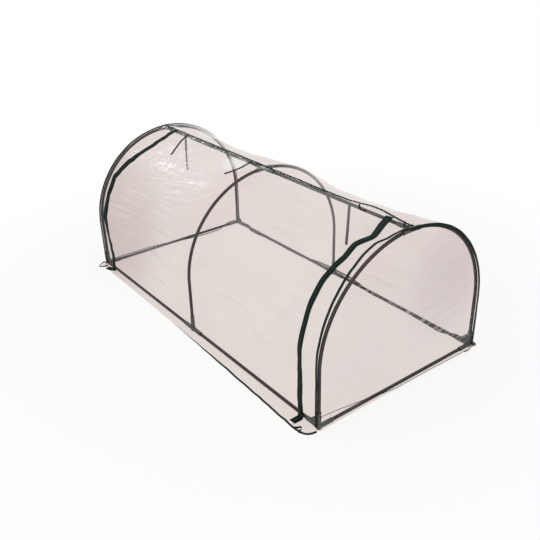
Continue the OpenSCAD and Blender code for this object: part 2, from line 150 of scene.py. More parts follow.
@dataclass(frozen=True)
class Tunnel:
    """The cover's own coordinates: x along the ridge and s round the hoop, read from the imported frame.

    s is 0 at the ridge, less than 0 on the front and more on the back; past the wall it runs on over
    the ground skirt.
    """

    half_l: float
    arc_r: float
    ridge_z: float
    socket_r: float
    film_off: float
    end_x: float
    skirt_z: float
    skirt_left: float
    skirt_right: float
    skirt_end: float
    bend: float = 0.010
    sag: float = 0.055
    film_half: float = 0.001
    hoop_rest: float = 0.0015
    turn: float = 0.35
    rounded_from: float = 0.935

    @classmethod
    def from_frame(cls) -> "Tunnel":
        """Reads the sizes of the tunnel from the boxes of its CAD nodes.

        Returns:
            The tunnel's sizes.
        """
        pole_low, pole_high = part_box("right_ridge_pole")
        rail_low, rail_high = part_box("right_end_rail")
        side_low, side_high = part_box("back_left_rail")
        tee_low, tee_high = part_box("back_rail_tee")
        back_low, back_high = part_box("back_sheet")
        strip_low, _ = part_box("left_front_strip")
        panel_low, panel_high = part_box("right_end_panel")
        arc_r = (side_low.y + side_high.y) / 2
        ridge_z = (pole_low.z + pole_high.z) / 2
        film_off = back_high.z - cls.film_half - ridge_z
        wall = arc_r + film_off
        return cls(
            half_l=(rail_low.x + rail_high.x) / 2,
            arc_r=arc_r,
            ridge_z=ridge_z,
            socket_r=(tee_high.y - tee_low.y) / 2,
            film_off=film_off,
            end_x=panel_low.x + cls.film_half,
            skirt_z=back_low.z + cls.film_half,
            skirt_left=-strip_low.y - wall - cls.bend,
            skirt_right=back_high.y - wall - cls.bend,
            skirt_end=panel_high.x - panel_low.x - cls.film_half - cls.bend,
        )

    @property
    def leg(self) -> float:
        """Height where the hoops start to bend."""
        return self.ridge_z - self.arc_r

    @property
    def bend_z(self) -> float:
        """Height where the wall turns out into the skirt."""
        return self.skirt_z + self.bend

    @property
    def s_arc(self) -> float:
        """Length round a quarter hoop."""
        return self.arc_r * math.pi / 2

    @property
    def s_wall(self) -> float:
        """Length from the ridge to the foot of the wall."""
        return self.s_arc + self.leg - self.bend_z

    @property
    def s_bend(self) -> float:
        """Length of the turn at the foot of the wall."""
        return self.bend * math.pi / 2

    @property
    def edge_x(self) -> float:
        """Outer edge of the cover at the ends."""
        return self.end_x + self.film_half

    def bay(self, x: float) -> float:
        """0 at a hoop, 1 half-way to the next."""
        rest = self.socket_r + self.hoop_rest
        return max(0.0, 1.0 - ((abs(x) - self.half_l / 2) / (self.half_l / 2 - rest)) ** 2)

    def skirt(self, x: float, side: Side) -> float:
        """Width of the ground skirt beyond its turn; less than 0 where it is tucked in under the rail.

        Args:
            x: place along the ridge.
            side: front or back.

        Returns:
            The width in metres.
        """
        if side is Side.FRONT:
            share = (x + self.edge_x) / (2 * self.edge_x)
            out = self.skirt_left + (self.skirt_right - self.skirt_left) * share * share
            corner = max(0.0, (x - self.rounded_from) / (self.edge_x - self.rounded_from))
            return out * math.sqrt(max(0.0, 1.0 - corner ** 2.5)) + 0.002 * swell(11.0 * x, 4.0)
        reach = abs(x)
        tuck = smooth_step(0.06, 0.34, reach) * (1.0 - smooth_step(0.80, 0.95, reach))
        inward = 0.012 + 0.014 * smooth_step(0.62, 0.86, reach) + 0.003 * swell(8.0 * x, 9.0)
        return (0.019 - 0.015 * smooth_step(0.88, 0.95, reach)) * (1.0 - tuck) - tuck * inward

    def foot(self, x: float, side: Side, share: float) -> Tuple[float, float]:
        """The skirt's place outside the wall and its height, at a share of the way to its edge.

        Args:
            x: place along the ridge.
            side: front or back.
            share: 0 at the foot of the wall, 1 at the edge of the skirt.

        Returns:
            Distance outwards from the wall, and height.
        """
        width = self.skirt(x, side)
        turned = min(1.0, share / self.turn)
        flat = width * max(0.0, share - self.turn) / (1.0 - self.turn)
        if width >= 0:
            angle = turned * math.pi / 2
            out = self.bend * (1 - math.cos(angle)) + flat
            return out, self.skirt_z + self.bend * (1 - math.sin(angle))
        return flat, self.bend_z + (self.skirt_z - self.bend_z) * turned

    def share_of_sag(self, s: float) -> float:
        """0 at the ridge and at the foot, 1 half-way round."""
        return math.sin(math.pi * min(1.0, abs(s) / self.s_wall))

    def slack(self, x: float, s: float) -> float:
        """How far the loose film stands off its smooth shape: tension wrinkles, packing creases, ripples.

        Args:
            x: place along the ridge.
            s: place round the hoop.

        Returns:
            Distance outwards in metres.
        """
        to_hoop = min(abs(x), abs(abs(x) - self.half_l))
        free = smooth_step(self.socket_r, 0.085, to_hoop)
        wall = smooth_step(0.01, 0.09, abs(s)) * smooth_step(0.0, 0.12, self.s_wall - abs(s))
        broad = 0.0045 * swell(3.1 * x, 2.3 * s, 5.0)
        pull = 0.0024 * crease(5.0 * x + 4.5 * s, 2.0 * s - 1.5 * x, 1.0)
        left = smooth_step(-0.25, -0.85, x)
        fine = 0.0016 * (0.35 + left) * crease(16.0 * x - 10.0 * s, 4.0 * s + 5.0 * x, 3.0)
        low = smooth_step(0.45, 0.95, abs(s) / self.s_wall)
        gather = 0.0022 * low * crease(15.0 * x + 3.0 * s, 4.0 * s, 7.0)
        bay = smooth_step(-0.95, -0.7, x) * (1.0 - smooth_step(-0.25, -0.05, x)) if s < 0 else 0.0
        hung = crease(1.6 * x, 26.0 * s - 9.0 * (x + 0.5) ** 2, 9.0)
        swag = 0.0018 * bay * bump_at(abs(s), 0.34, 0.36) * hung
        return free * wall * (broad + pull + fine + gather + swag)

    def lift(self, x: float, s: float) -> float:
        """How far the film rides up off the pole beside the right hoop, and crinkles along the seam.

        Args:
            x: place along the ridge.
            s: place round the hoop.

        Returns:
            Distance outwards in metres.
        """
        ridden = 0.016 * bump_at(x, 0.79, 0.26)
        crinkle = 0.0016 * max(0.0, crease(38.0 * x, 11.0 * s, 2.0))
        crinkle += 0.0008 * max(0.0, swell(90.0 * x, 30.0 * s))
        return ridden * math.exp(-((s / 0.10) ** 2)) + crinkle * math.exp(-((s / 0.03) ** 2))

    def at(self, x: float, s: float, off: float = 0.0) -> Vector:
        """A point of the cover.

        Args:
            x: place along the ridge.
            s: place round the hoop; the skirt runs from s_wall to s_wall + 1, whatever its width.
            off: distance outside the film's middle.

        Returns:
            The point in the tunnel's frame.
        """
        side = Side.FRONT if s < 0 else Side.BACK
        length = abs(s)
        if length > self.s_wall:
            out, z = self.foot(x, side, length - self.s_wall)
            y = self.arc_r + self.film_off + out
            flat = min(1.0, (length - self.s_wall) / self.turn)
            return Vector((x, side.value * (y + off * (1 - flat)), z + off * flat))
        angle = min(math.pi / 2, length / self.arc_r)
        stand = off - self.sag * self.bay(x) * self.share_of_sag(s) + self.slack(x, s) + self.lift(x, s)
        radius = self.arc_r + self.film_off + stand
        y = radius * math.sin(angle)
        z = self.leg + radius * math.cos(angle) - max(0.0, length - self.s_arc)
        return Vector((x, side.value * y, z))

    def normal(self, x: float, s: float) -> Vector:
        """The cover's outward direction at x, s.

        Args:
            x: place along the ridge.
            s: place round the hoop.

        Returns:
            A direction of length 1.
        """
        step = 0.004
        along = self.at(x + step, s) - self.at(x - step, s)
        across = self.at(x, s + step) - self.at(x, s - step)
        return along.cross(across).normalized()

    def left_zip(self, s: float) -> float:
        """Centre-line of the left zip."""
        return through_knots(LEFT_ZIP_KNOTS, abs(s) / self.s_wall)

    def right_zip(self, s: float) -> float:
        """Centre-line of the right zip, which ripples over the shoulder."""
        return through_knots(RIGHT_ZIP_KNOTS, abs(s) / self.s_wall)


TUNNEL = Tunnel.from_frame()


class Nodes:
    """A short way to place and join shader nodes in a material or a group."""

    def __init__(self, tree: bpy.types.NodeTree) -> None:
        """Keeps the tree that the nodes go into."""
        self.tree = tree

    def add(self, kind: str, settings: Optional[Dict[str, object]] = None,
            **inputs: object) -> bpy.types.Node:
        """Adds a node.

        Args:
            kind: the node's type, such as ShaderNodeTexNoise.
            settings: properties of the node itself.
            inputs: values or sockets for its inputs, by name with _ for a space, or i0, i1 by number.

        Returns:
            The new node.
        """
        made = self.tree.nodes.new(kind)
        for name, value in (settings or {}).items():
            setattr(made, name, value)
        for name, value in inputs.items():
            by_number = name[0] == "i" and name[1:].isdigit()
            socket = made.inputs[int(name[1:])] if by_number else made.inputs[name.replace("_", " ")]
            if isinstance(value, bpy.types.NodeSocket):
                self.tree.links.new(value, socket)
            else:
                socket.default_value = value
        return made

    def maths(self, operation: str, first: object, second: object = 0.0,
              clamp: bool = False) -> bpy.types.NodeSocket:
        """Adds a Math node and gives its result."""
        settings = {"operation": operation, "use_clamp": clamp}
        return self.add("ShaderNodeMath", settings, i0=first, i1=second).outputs[0]

    def blend(self, share: object, first: object, second: object) -> bpy.types.NodeSocket:
        """Mixes two colours by a share and gives the result."""
        made = self.add("ShaderNodeMix", {"data_type": "RGBA"}, i0=share, i6=first, i7=second)
        return made.outputs[2]


class Effects:
    """Shader node groups that several finishes share, each built once."""

    made: Dict[str, bpy.types.NodeTree] = {}

    @classmethod
    def group(cls, name: str, inputs: Sequence[Tuple[str, float]], outputs: Sequence[str],
              fill: Callable[[Nodes, bpy.types.Node, bpy.types.Node], None]) -> bpy.types.NodeTree:
        """Builds a group, or gives the one already built.

        Args:
            name: the group's name.
            inputs: names and first values of its inputs.
            outputs: names of its outputs.
            fill: places its nodes between its input and its output node.

        Returns:
            The node tree of the group.
        """
        if name not in cls.made:
            tree = bpy.data.node_groups.new(name, "ShaderNodeTree")
            for label, value in inputs:
                socket = tree.interface.new_socket(label, in_out="INPUT", socket_type="NodeSocketFloat")
                socket.default_value = value
            for label in outputs:
                tree.interface.new_socket(label, in_out="OUTPUT", socket_type="NodeSocketFloat")
            nodes = Nodes(tree)
            fill(nodes, nodes.add("NodeGroupInput"), nodes.add("NodeGroupOutput"))
            cls.made[name] = tree
        return cls.made[name]

    @staticmethod
    def _grain(nodes: Nodes, given: bpy.types.Node, put: bpy.types.Node) -> None:
        """Fine pimples with slow patches, on the object's own coordinates.

        Args:
            nodes: where to place the nodes.
            given: the group's input node.
            put: the group's output node.
        """
        place = nodes.add("ShaderNodeTexCoord").outputs["Object"]
        fine = nodes.add("ShaderNodeTexNoise", Vector=place, Scale=given.outputs["Scale"], Detail=2.0)
        slow = nodes.add("ShaderNodeTexNoise", Vector=place, Scale=23.0, Detail=4.0, Roughness=0.62)
        patch = nodes.add("ShaderNodeMapRange", Value=slow.outputs[0], From_Min=0.35, From_Max=0.7)
        nodes.tree.links.new(fine.outputs[0], put.inputs["Height"])
        nodes.tree.links.new(patch.outputs[0], put.inputs["Patches"])

    @staticmethod
    def _scuffs(nodes: Nodes, given: bpy.types.Node, put: bpy.types.Node) -> None:
        """Sparse rubbed streaks, longer along X than across.

        Args:
            nodes: where to place the nodes.
            given: the group's input node.
            put: the group's output node.
        """
        place = nodes.add("ShaderNodeTexCoord").outputs["Object"]
        stretched = nodes.add("ShaderNodeMapping", Vector=place, Scale=(14.0, 45.0, 45.0)).outputs[0]
        streak = nodes.add("ShaderNodeTexNoise", Vector=stretched, Scale=3.0, Detail=5.0, Roughness=0.7)
        area = nodes.add("ShaderNodeTexNoise", Vector=place, Scale=5.0, Detail=1.0)
        both = nodes.maths("MULTIPLY", streak.outputs[0], area.outputs[0])
        mask = nodes.add("ShaderNodeMapRange", Value=both, From_Min=0.30, From_Max=0.42)
        amount = nodes.maths("MULTIPLY", mask.outputs[0], given.outputs["Amount"], True)
        nodes.tree.links.new(amount, put.inputs["Mask"])

    @staticmethod
    def _weave(nodes: Nodes, given: bpy.types.Node, put: bpy.types.Node) -> None:
        """A plain weave on the UV map, which is laid out in metres along and across a tape.

        Args:
            nodes: where to place the nodes.
            given: the group's input node.
            put: the group's output node.
        """
        place = nodes.add("ShaderNodeUVMap").outputs[0]
        split = nodes.add("ShaderNodeSeparateXYZ", Vector=place)
        pitch = nodes.maths("DIVIDE", 2 * math.pi, given.outputs["Thread"])
        along = nodes.maths("SINE", nodes.maths("MULTIPLY", split.outputs[0], pitch))
        across = nodes.maths("SINE", nodes.maths("MULTIPLY", split.outputs[1], pitch))
        checks = nodes.maths("MULTIPLY", along, across)
        height = nodes.add("ShaderNodeMapRange", Value=checks, From_Min=-1.0, From_Max=1.0).outputs[0]
        fuzz = nodes.add("ShaderNodeTexNoise", Vector=place, Scale=160.0, Detail=3.0).outputs[0]
        nodes.tree.links.new(height, put.inputs["Height"])
        # Shade: painted shade, low in the dips between the threads and broken by fuzz
        nodes.tree.links.new(nodes.maths("MULTIPLY", height, fuzz), put.inputs["Shade"])

    @staticmethod
    def _streaks(nodes: Nodes, given: bpy.types.Node, put: bpy.types.Node) -> None:
        """Thin broken lines of a film that has lain folded, across a direction of its UV map in metres.

        Args:
            nodes: where to place the nodes.
            given: the group's input node.
            put: the group's output node.
        """
        place = nodes.add("ShaderNodeUVMap").outputs[0]
        swirl = nodes.add("ShaderNodeTexNoise", Vector=place, Scale=2.2, Detail=2.0).outputs[0]
        split = nodes.add("ShaderNodeSeparateXYZ", Vector=place)
        lean_u, lean_v = given.outputs["Lean U"], given.outputs["Lean V"]
        across = nodes.maths("ADD", nodes.maths("MULTIPLY", split.outputs[0], lean_u),
                             nodes.maths("MULTIPLY", split.outputs[1], lean_v))
        along = nodes.maths("SUBTRACT", nodes.maths("MULTIPLY", split.outputs[0], lean_v),
                            nodes.maths("MULTIPLY", split.outputs[1], lean_u))
        bent = nodes.maths("ADD", across, nodes.maths("MULTIPLY", swirl, given.outputs["Bend"]))
        spot = nodes.add("ShaderNodeCombineXYZ", X=nodes.maths("MULTIPLY", bent, given.outputs["Pitch"]),
                         Y=along)
        grain = nodes.add("ShaderNodeTexNoise", Vector=spot.outputs[0], Scale=1.0, Detail=2.0,
                          Roughness=0.5)
        fold = nodes.maths("ABSOLUTE", nodes.maths("SUBTRACT", grain.outputs[0], 0.5))
        line = nodes.add("ShaderNodeMapRange", Value=fold, From_Min=0.0, From_Max=given.outputs["Soft"],
                         To_Min=1.0, To_Max=0.0)
        areas = nodes.add("ShaderNodeTexNoise", Vector=place, Scale=3.4, Detail=2.0).outputs[0]
        here = nodes.add("ShaderNodeMapRange", Value=areas, From_Min=given.outputs["Sparse"], From_Max=0.68)
        nodes.tree.links.new(nodes.maths("MULTIPLY", line.outputs[0], here.outputs[0]), put.inputs["Lines"])
        nodes.tree.links.new(grain.outputs[0], put.inputs["Height"])

    @staticmethod
    def _haze(nodes: Nodes, given: bpy.types.Node, put: bpy.types.Node) -> None:
        """Broad soft patches on the UV map.

        Args:
            nodes: where to place the nodes.
            given: the group's input node.
            put: the group's output node.
        """
        place = nodes.add("ShaderNodeUVMap").outputs[0]
        cloud = nodes.add("ShaderNodeTexNoise", Vector=place, Scale=given.outputs["Scale"], Detail=4.0,
                          Roughness=0.6)
        patch = nodes.add("ShaderNodeMapRange", Value=cloud.outputs[0], From_Min=0.3, From_Max=0.72)
        nodes.tree.links.new(patch.outputs[0], put.inputs["Haze"])

    @staticmethod
    def _area(nodes: Nodes, given: bpy.types.Node, put: bpy.types.Node) -> None:
        """A soft round spot on the UV map.

        Args:
            nodes: where to place the nodes.
            given: the group's input node.
            put: the group's output node.
        """
        split = nodes.add("ShaderNodeSeparateXYZ", Vector=nodes.add("ShaderNodeUVMap").outputs[0])
        total: object = 0.0
        for axis, middle, reach in ((0, "U", "Reach U"), (1, "V", "Reach V")):
            away = nodes.maths("SUBTRACT", split.outputs[axis], given.outputs[middle])
            share = nodes.maths("DIVIDE", away, given.outputs[reach])
            total = nodes.maths("ADD", total, nodes.maths("MULTIPLY", share, share))
        spot = nodes.add("ShaderNodeMapRange", {"interpolation_type": "SMOOTHSTEP"}, Value=total,
                         To_Min=1.0, To_Max=0.0)
        nodes.tree.links.new(spot.outputs[0], put.inputs["Mask"])

    @staticmethod
    def _specks(nodes: Nodes, given: bpy.types.Node, put: bpy.types.Node) -> None:
        """Painted glints of crinkled film: small bright specks on the UV map, in loose clusters.

        Args:
            nodes: where to place the nodes.
            given: the group's input node.
            put: the group's output node.
        """
        place = nodes.add("ShaderNodeUVMap").outputs[0]
        fine = nodes.add("ShaderNodeTexNoise", Vector=place, Scale=given.outputs["Scale"], Detail=2.0,
                         Roughness=0.6)
        wide = nodes.add("ShaderNodeTexNoise", Vector=place, Scale=17.0, Detail=2.0)
        both = nodes.maths("ADD", fine.outputs[0], nodes.maths("MULTIPLY", wide.outputs[0], 0.7))
        edge = nodes.maths("ADD", given.outputs["Cover"], 0.09)
        mask = nodes.add("ShaderNodeMapRange", Value=both, From_Min=given.outputs["Cover"], From_Max=edge)
        nodes.tree.links.new(mask.outputs[0], put.inputs["Specks"])

    @classmethod
    def area(cls) -> bpy.types.NodeTree:
        """One place on a film."""
        inputs = [("U", 0.0), ("V", 0.0), ("Reach U", 0.1), ("Reach V", 0.1)]
        return cls.group("film_area", inputs, ["Mask"], cls._area)

    @classmethod
    def specks(cls) -> bpy.types.NodeTree:
        """Painted glints on crinkled film."""
        return cls.group("film_specks", [("Scale", 80.0), ("Cover", 1.0)], ["Specks"], cls._specks)

    @classmethod
    def grain(cls) -> bpy.types.NodeTree:
        """Fine surface grain of coats and mouldings."""
        return cls.group("surface_grain", [("Scale", 900.0)], ["Height", "Patches"], cls._grain)

    @classmethod
    def scuffs(cls) -> bpy.types.NodeTree:
        """Rubbed places on hard pieces."""
        return cls.group("scuffs", [("Amount", 0.5)], ["Mask"], cls._scuffs)

    @classmethod
    def weave(cls) -> bpy.types.NodeTree:
        """Woven thread of tapes."""
        return cls.group("tape_weave", [("Thread", 0.0011)], ["Height", "Shade"], cls._weave)

    @classmethod
    def streaks(cls) -> bpy.types.NodeTree:
        """Creases of clear film in one direction.

        Returns:
            The node tree of the group.
        """
        inputs = [("Lean U", 0.0), ("Lean V", 1.0), ("Pitch", 30.0), ("Sparse", 0.5), ("Bend", 0.04),
                  ("Soft", 0.05)]
        return cls.group("film_streaks", inputs, ["Lines", "Height"], cls._streaks)

    @classmethod
    def haze(cls) -> bpy.types.NodeTree:
        """Cloudy places of clear film."""
        return cls.group("film_haze", [("Scale", 4.5)], ["Haze"], cls._haze)


def new_material(name: str) -> Tuple[bpy.types.Material, Nodes, bpy.types.Node]:
    """Starts a material with a lone Principled shader.

    Args:
        name: the material's name.

    Returns:
        The material, its nodes and its shader.
    """
    made = bpy.data.materials.new(name)
    made.use_nodes = True
    nodes = Nodes(made.node_tree)
    return made, nodes, made.node_tree.nodes["Principled BSDF"]


def use_group(nodes: Nodes, tree: bpy.types.NodeTree, **values: float) -> bpy.types.Node:
    """Places a shared effect in a material with its own values."""
    return nodes.add("ShaderNodeGroup", {"node_tree": tree}, **values)


def area_mask(nodes: Nodes, area: Area) -> bpy.types.NodeSocket:
    """1 in the middle of an area of the UV map, 0 outside it.

    Args:
        nodes: where to place the nodes.
        area: the middle in u and v, and the reach in u and v.

    Returns:
        The mask.
    """
    place = use_group(nodes, Effects.area(), U=area[0], V=area[1], Reach_U=area[2], Reach_V=area[3])
    return place.outputs["Mask"]


def raise_bump(nodes: Nodes, shader: bpy.types.Node, height: bpy.types.NodeSocket, strength: float,
               distance: float) -> None:
    """Feeds a height into the shader's normal."""
    bump = nodes.add("ShaderNodeBump", Height=height, Strength=strength, Distance=distance)
    nodes.tree.links.new(bump.outputs[0], shader.inputs["Normal"])


@dataclass(frozen=True)
class HardFinish:
    """A coated or moulded surface with fine grain and rubbed places.

    Fields hold the base and the rubbed colour, the roughness, the grain's scale and depth, the amount of
    rubbing, the metal share and the shine.
    """

    name: str
    base: Colour
    rubbed: Colour
    roughness: float
    grain_scale: float
    grain_depth: float
    scuffing: float
    metallic: float = 0.0
    shine: float = 0.5
    patch_shade: float = 0.72
    bump: float = 0.35

    def material(self) -> bpy.types.Material:
        """Builds the finish.

        Returns:
            The material.
        """
        made, nodes, shader = new_material(self.name)
        grain = use_group(nodes, Effects.grain(), Scale=self.grain_scale)
        scuffs = use_group(nodes, Effects.scuffs(), Amount=self.scuffing)
        darker = tuple(self.patch_shade * c for c in self.base[:3]) + (1.0,)
        ground = nodes.blend(grain.outputs["Patches"], self.base, darker)
        colour = nodes.blend(scuffs.outputs["Mask"], ground, self.rubbed)
        rough = nodes.add("ShaderNodeMapRange", Value=grain.outputs["Patches"],
                          To_Min=self.roughness - 0.07, To_Max=self.roughness + 0.1).outputs[0]
        nodes.tree.links.new(colour, shader.inputs["Base Color"])
        nodes.tree.links.new(rough, shader.inputs["Roughness"])
        shader.inputs["Metallic"].default_value = self.metallic
        shader.inputs["Specular IOR Level"].default_value = self.shine
        raise_bump(nodes, shader, grain.outputs["Height"], self.bump, self.grain_depth)
        return made


@dataclass(frozen=True)
class TapeFinish:
    """Woven tape: the colours of thread and of the painted shade in its weave, the thread's size, and
    stitches beside the middle.
    """

    name: str
    thread_colour: Colour
    shade_colour: Colour
    thread: float
    stitch_at: float = 0.0
    stitch_w: float = 0.0006
    stitch_l: float = 0.0042
    stitch_share: float = 0.68
    stitch_height: float = 1.5
    shine: float = 0.12
    bump: float = 0.6
    weave_depth: float = 0.0004
    stitch_colour: Colour = (0.03, 0.07, 0.055, 1.0)

    def material(self) -> bpy.types.Material:
        """Builds the finish.

        Returns:
            The material.
        """
        made, nodes, shader = new_material(self.name)
        weave = use_group(nodes, Effects.weave(), Thread=self.thread)
        # Painted shade of the weave: the shade colour lies in its dips
        colour = nodes.blend(weave.outputs["Shade"], self.shade_colour, self.thread_colour)
        height = weave.outputs["Height"]
        if self.stitch_at > 0:
            seam = self._stitches(nodes)
            colour = nodes.blend(seam, colour, self.stitch_colour)
            height = nodes.maths("ADD", height, nodes.maths("MULTIPLY", seam, self.stitch_height))
        rough = nodes.add("ShaderNodeMapRange", Value=weave.outputs["Shade"],
                          To_Min=0.62, To_Max=0.85).outputs[0]
        nodes.tree.links.new(colour, shader.inputs["Base Color"])
        nodes.tree.links.new(rough, shader.inputs["Roughness"])
        shader.inputs["Specular IOR Level"].default_value = self.shine
        raise_bump(nodes, shader, height, self.bump, self.weave_depth)
        return made

    def _stitches(self, nodes: Nodes) -> bpy.types.NodeSocket:
        """A dashed line of thread on both sides of the tape's middle.

        Args:
            nodes: where to place the nodes.

        Returns:
            1 on the thread and 0 beside it.
        """
        place = nodes.add("ShaderNodeSeparateXYZ", Vector=nodes.add("ShaderNodeUVMap").outputs[0])
        across = nodes.maths("ABSOLUTE", place.outputs[1])
        off_line = nodes.maths("ABSOLUTE", nodes.maths("SUBTRACT", across, self.stitch_at))
        on_line = nodes.maths("LESS_THAN", off_line, self.stitch_w)
        dash = nodes.maths("FRACT", nodes.maths("DIVIDE", place.outputs[0], self.stitch_l))
        return nodes.maths("MULTIPLY", on_line, nodes.maths("LESS_THAN", dash, self.stitch_share))


@dataclass(frozen=True)
class Streaks:
    """One set of creases in a film: the direction across them, lines a metre, sparseness and look.
    The look is painted shade that darkens the lines and painted glints that whiten them.
    """

    lean: Tuple[float, float]
    pitch: float
    sparse: float
    strength: float = 0.0
    colour: Colour = (1.0, 1.0, 1.0, 1.0)
    bend: float = 0.04
    soft: float = 0.05
    glint_white: float = 0.0
    area: Optional[Area] = None

    def place(self, nodes: Nodes) -> Tuple[bpy.types.NodeSocket, bpy.types.NodeSocket]:
        """Puts the creases into a material and gives their lines and their height.

        Args:
            nodes: where to place the nodes.

        Returns:
            The lines, and their height.
        """
        placed = use_group(nodes, Effects.streaks(), Lean_U=self.lean[0], Lean_V=self.lean[1],
                           Pitch=self.pitch, Sparse=self.sparse, Bend=self.bend, Soft=self.soft)
        lines = placed.outputs["Lines"]
        if self.area is not None:
            lines = nodes.maths("MULTIPLY", lines, area_mask(nodes, self.area))
        return lines, placed.outputs["Height"]


@dataclass(frozen=True)
class GlintPatch:
    """A patch of painted glints on crinkled film: its area on the UV map, the scale of its specks and their
    strength.
    """

    area: Area
    scale: float
    cover: float
    strength: float

    def place(self, nodes: Nodes) -> bpy.types.NodeSocket:
        """Puts the painted glint specks into a material and gives their mask.

        Args:
            nodes: where to place the nodes.

        Returns:
            The mask.
        """
        specks = use_group(nodes, Effects.specks(), Scale=self.scale, Cover=self.cover).outputs["Specks"]
        whiter = nodes.maths("MULTIPLY", specks, self.strength)
        return nodes.maths("MULTIPLY", whiter, area_mask(nodes, self.area))


@dataclass(frozen=True)
class Shade:
    """A broad soft area of painted shade on a film, a little darker: its place on the UV map, tint and
    strength.
    """

    area: Area
    tint: Colour
    strength: float

    def over(self, nodes: Nodes, tint: object) -> bpy.types.NodeSocket:
        """Lays the painted shade over a tint."""
        share = nodes.maths("MULTIPLY", area_mask(nodes, self.area), self.strength)
        return nodes.blend(share, tint, self.tint)


@dataclass(frozen=True)
class FilmFinish:
    """Clear soft film, faintly warm.

    What is behind it shows through its tint, less of it where the film is seen edge on, where it is hazy
    and where painted glints whiten its creases and patches. Painted shade darkens the tint in broad areas
    and along the creases. A film that is seen from its inner side adds little to the one in front of it.
    """

    name: str
    creases: Sequence[Streaks]
    glint_patches: Sequence[GlintPatch]
    shades: Sequence[Shade]
    crease_depth: float
    veil: float
    tint: Colour = (0.805, 0.722, 0.692, 1.0)
    inner_tint: Colour = (0.985, 0.978, 0.975, 1.0)
    body: Colour = (0.93, 0.91, 0.90, 1.0)
    clear: float = 0.030
    edge_on: float = 0.40
    haziness: float = 0.025
    inner_loss: float = 0.7
    haze_scale: float = 4.5
    haze_shade: float = 0.955
    ior: float = 1.52
    gloss: float = 1.0
    gloss_roughness: float = 0.11
    bump: float = 0.5

    def material(self) -> bpy.types.Material:
        """Builds the finish.

        Returns:
            The material.
        """
        made, nodes, shader = new_material(self.name)
        facing = nodes.add("ShaderNodeLayerWeight", Blend=0.35).outputs["Facing"]
        seen = nodes.add("ShaderNodeMapRange", Value=facing, From_Min=0.55, From_Max=1.0,
                         To_Min=self.clear, To_Max=self.edge_on).outputs[0]
        haze = use_group(nodes, Effects.haze(), Scale=self.haze_scale).outputs["Haze"]
        inner = nodes.add("ShaderNodeNewGeometry").outputs["Backfacing"]
        share = nodes.maths("ADD", seen, nodes.maths("MULTIPLY", haze, self.haziness))
        kept = nodes.maths("SUBTRACT", 1.0, nodes.maths("MULTIPLY", inner, self.inner_loss))
        share = nodes.maths("MULTIPLY", share, kept)
        duller = tuple(self.haze_shade * c for c in self.tint[:3]) + (1.0,)
        outer_tint = nodes.blend(haze, self.tint, duller)
        # Broad areas of painted shade darken the tint
        for shade in self.shades:
            outer_tint = shade.over(nodes, outer_tint)
        tint = nodes.blend(inner, outer_tint, self.inner_tint)
        height: object = 0.0
        outer = nodes.maths("SUBTRACT", 1.0, inner)
        free = nodes.add("ShaderNodeAttribute", {"attribute_name": FREE}).outputs["Fac"]
        loose = nodes.add("ShaderNodeAttribute", {"attribute_name": LOOSE}).outputs["Fac"]
        # white gathers the veil of loose film, the painted glints along the creases and the patches of
        # painted glints; painted shade darkens the tint along the creases
        white: object = nodes.maths("MULTIPLY", loose, self.veil)
        for creases in self.creases:
            lines, raised = creases.place(nodes)
            lines = nodes.maths("MULTIPLY", lines, free)
            tint = nodes.blend(nodes.maths("MULTIPLY", lines, creases.strength), tint, creases.colour)
            white = nodes.maths("ADD", white, nodes.maths("MULTIPLY", lines, creases.glint_white))
            height = nodes.maths("ADD", height, raised)
        # Patches of painted glints, and one coarse patch of painted sheen
        for glint_patch in self.glint_patches:
            white = nodes.maths("ADD", white, glint_patch.place(nodes))
        share = nodes.maths("ADD", share, nodes.maths("MULTIPLY", white, outer), True)
        through = nodes.add("ShaderNodeBsdfTransparent", Color=tint)
        rough = nodes.add("ShaderNodeMapRange", Value=haze, To_Min=0.10, To_Max=0.20).outputs[0]
        nodes.tree.links.new(rough, shader.inputs["Roughness"])
        shader.inputs["Base Color"].default_value = self.body
        shader.inputs["IOR"].default_value = self.ior
        shader.inputs["Specular IOR Level"].default_value = self.gloss
        shader.inputs["Coat Weight"].default_value = self.gloss
        shader.inputs["Coat Roughness"].default_value = self.gloss_roughness
        raise_bump(nodes, shader, height, self.bump, self.crease_depth)
        both = nodes.add("ShaderNodeMixShader", i0=share, i1=through.outputs[0], i2=shader.outputs[0])
        nodes.tree.links.new(both.outputs[0], made.node_tree.nodes["Material Output"].inputs["Surface"])
        return made


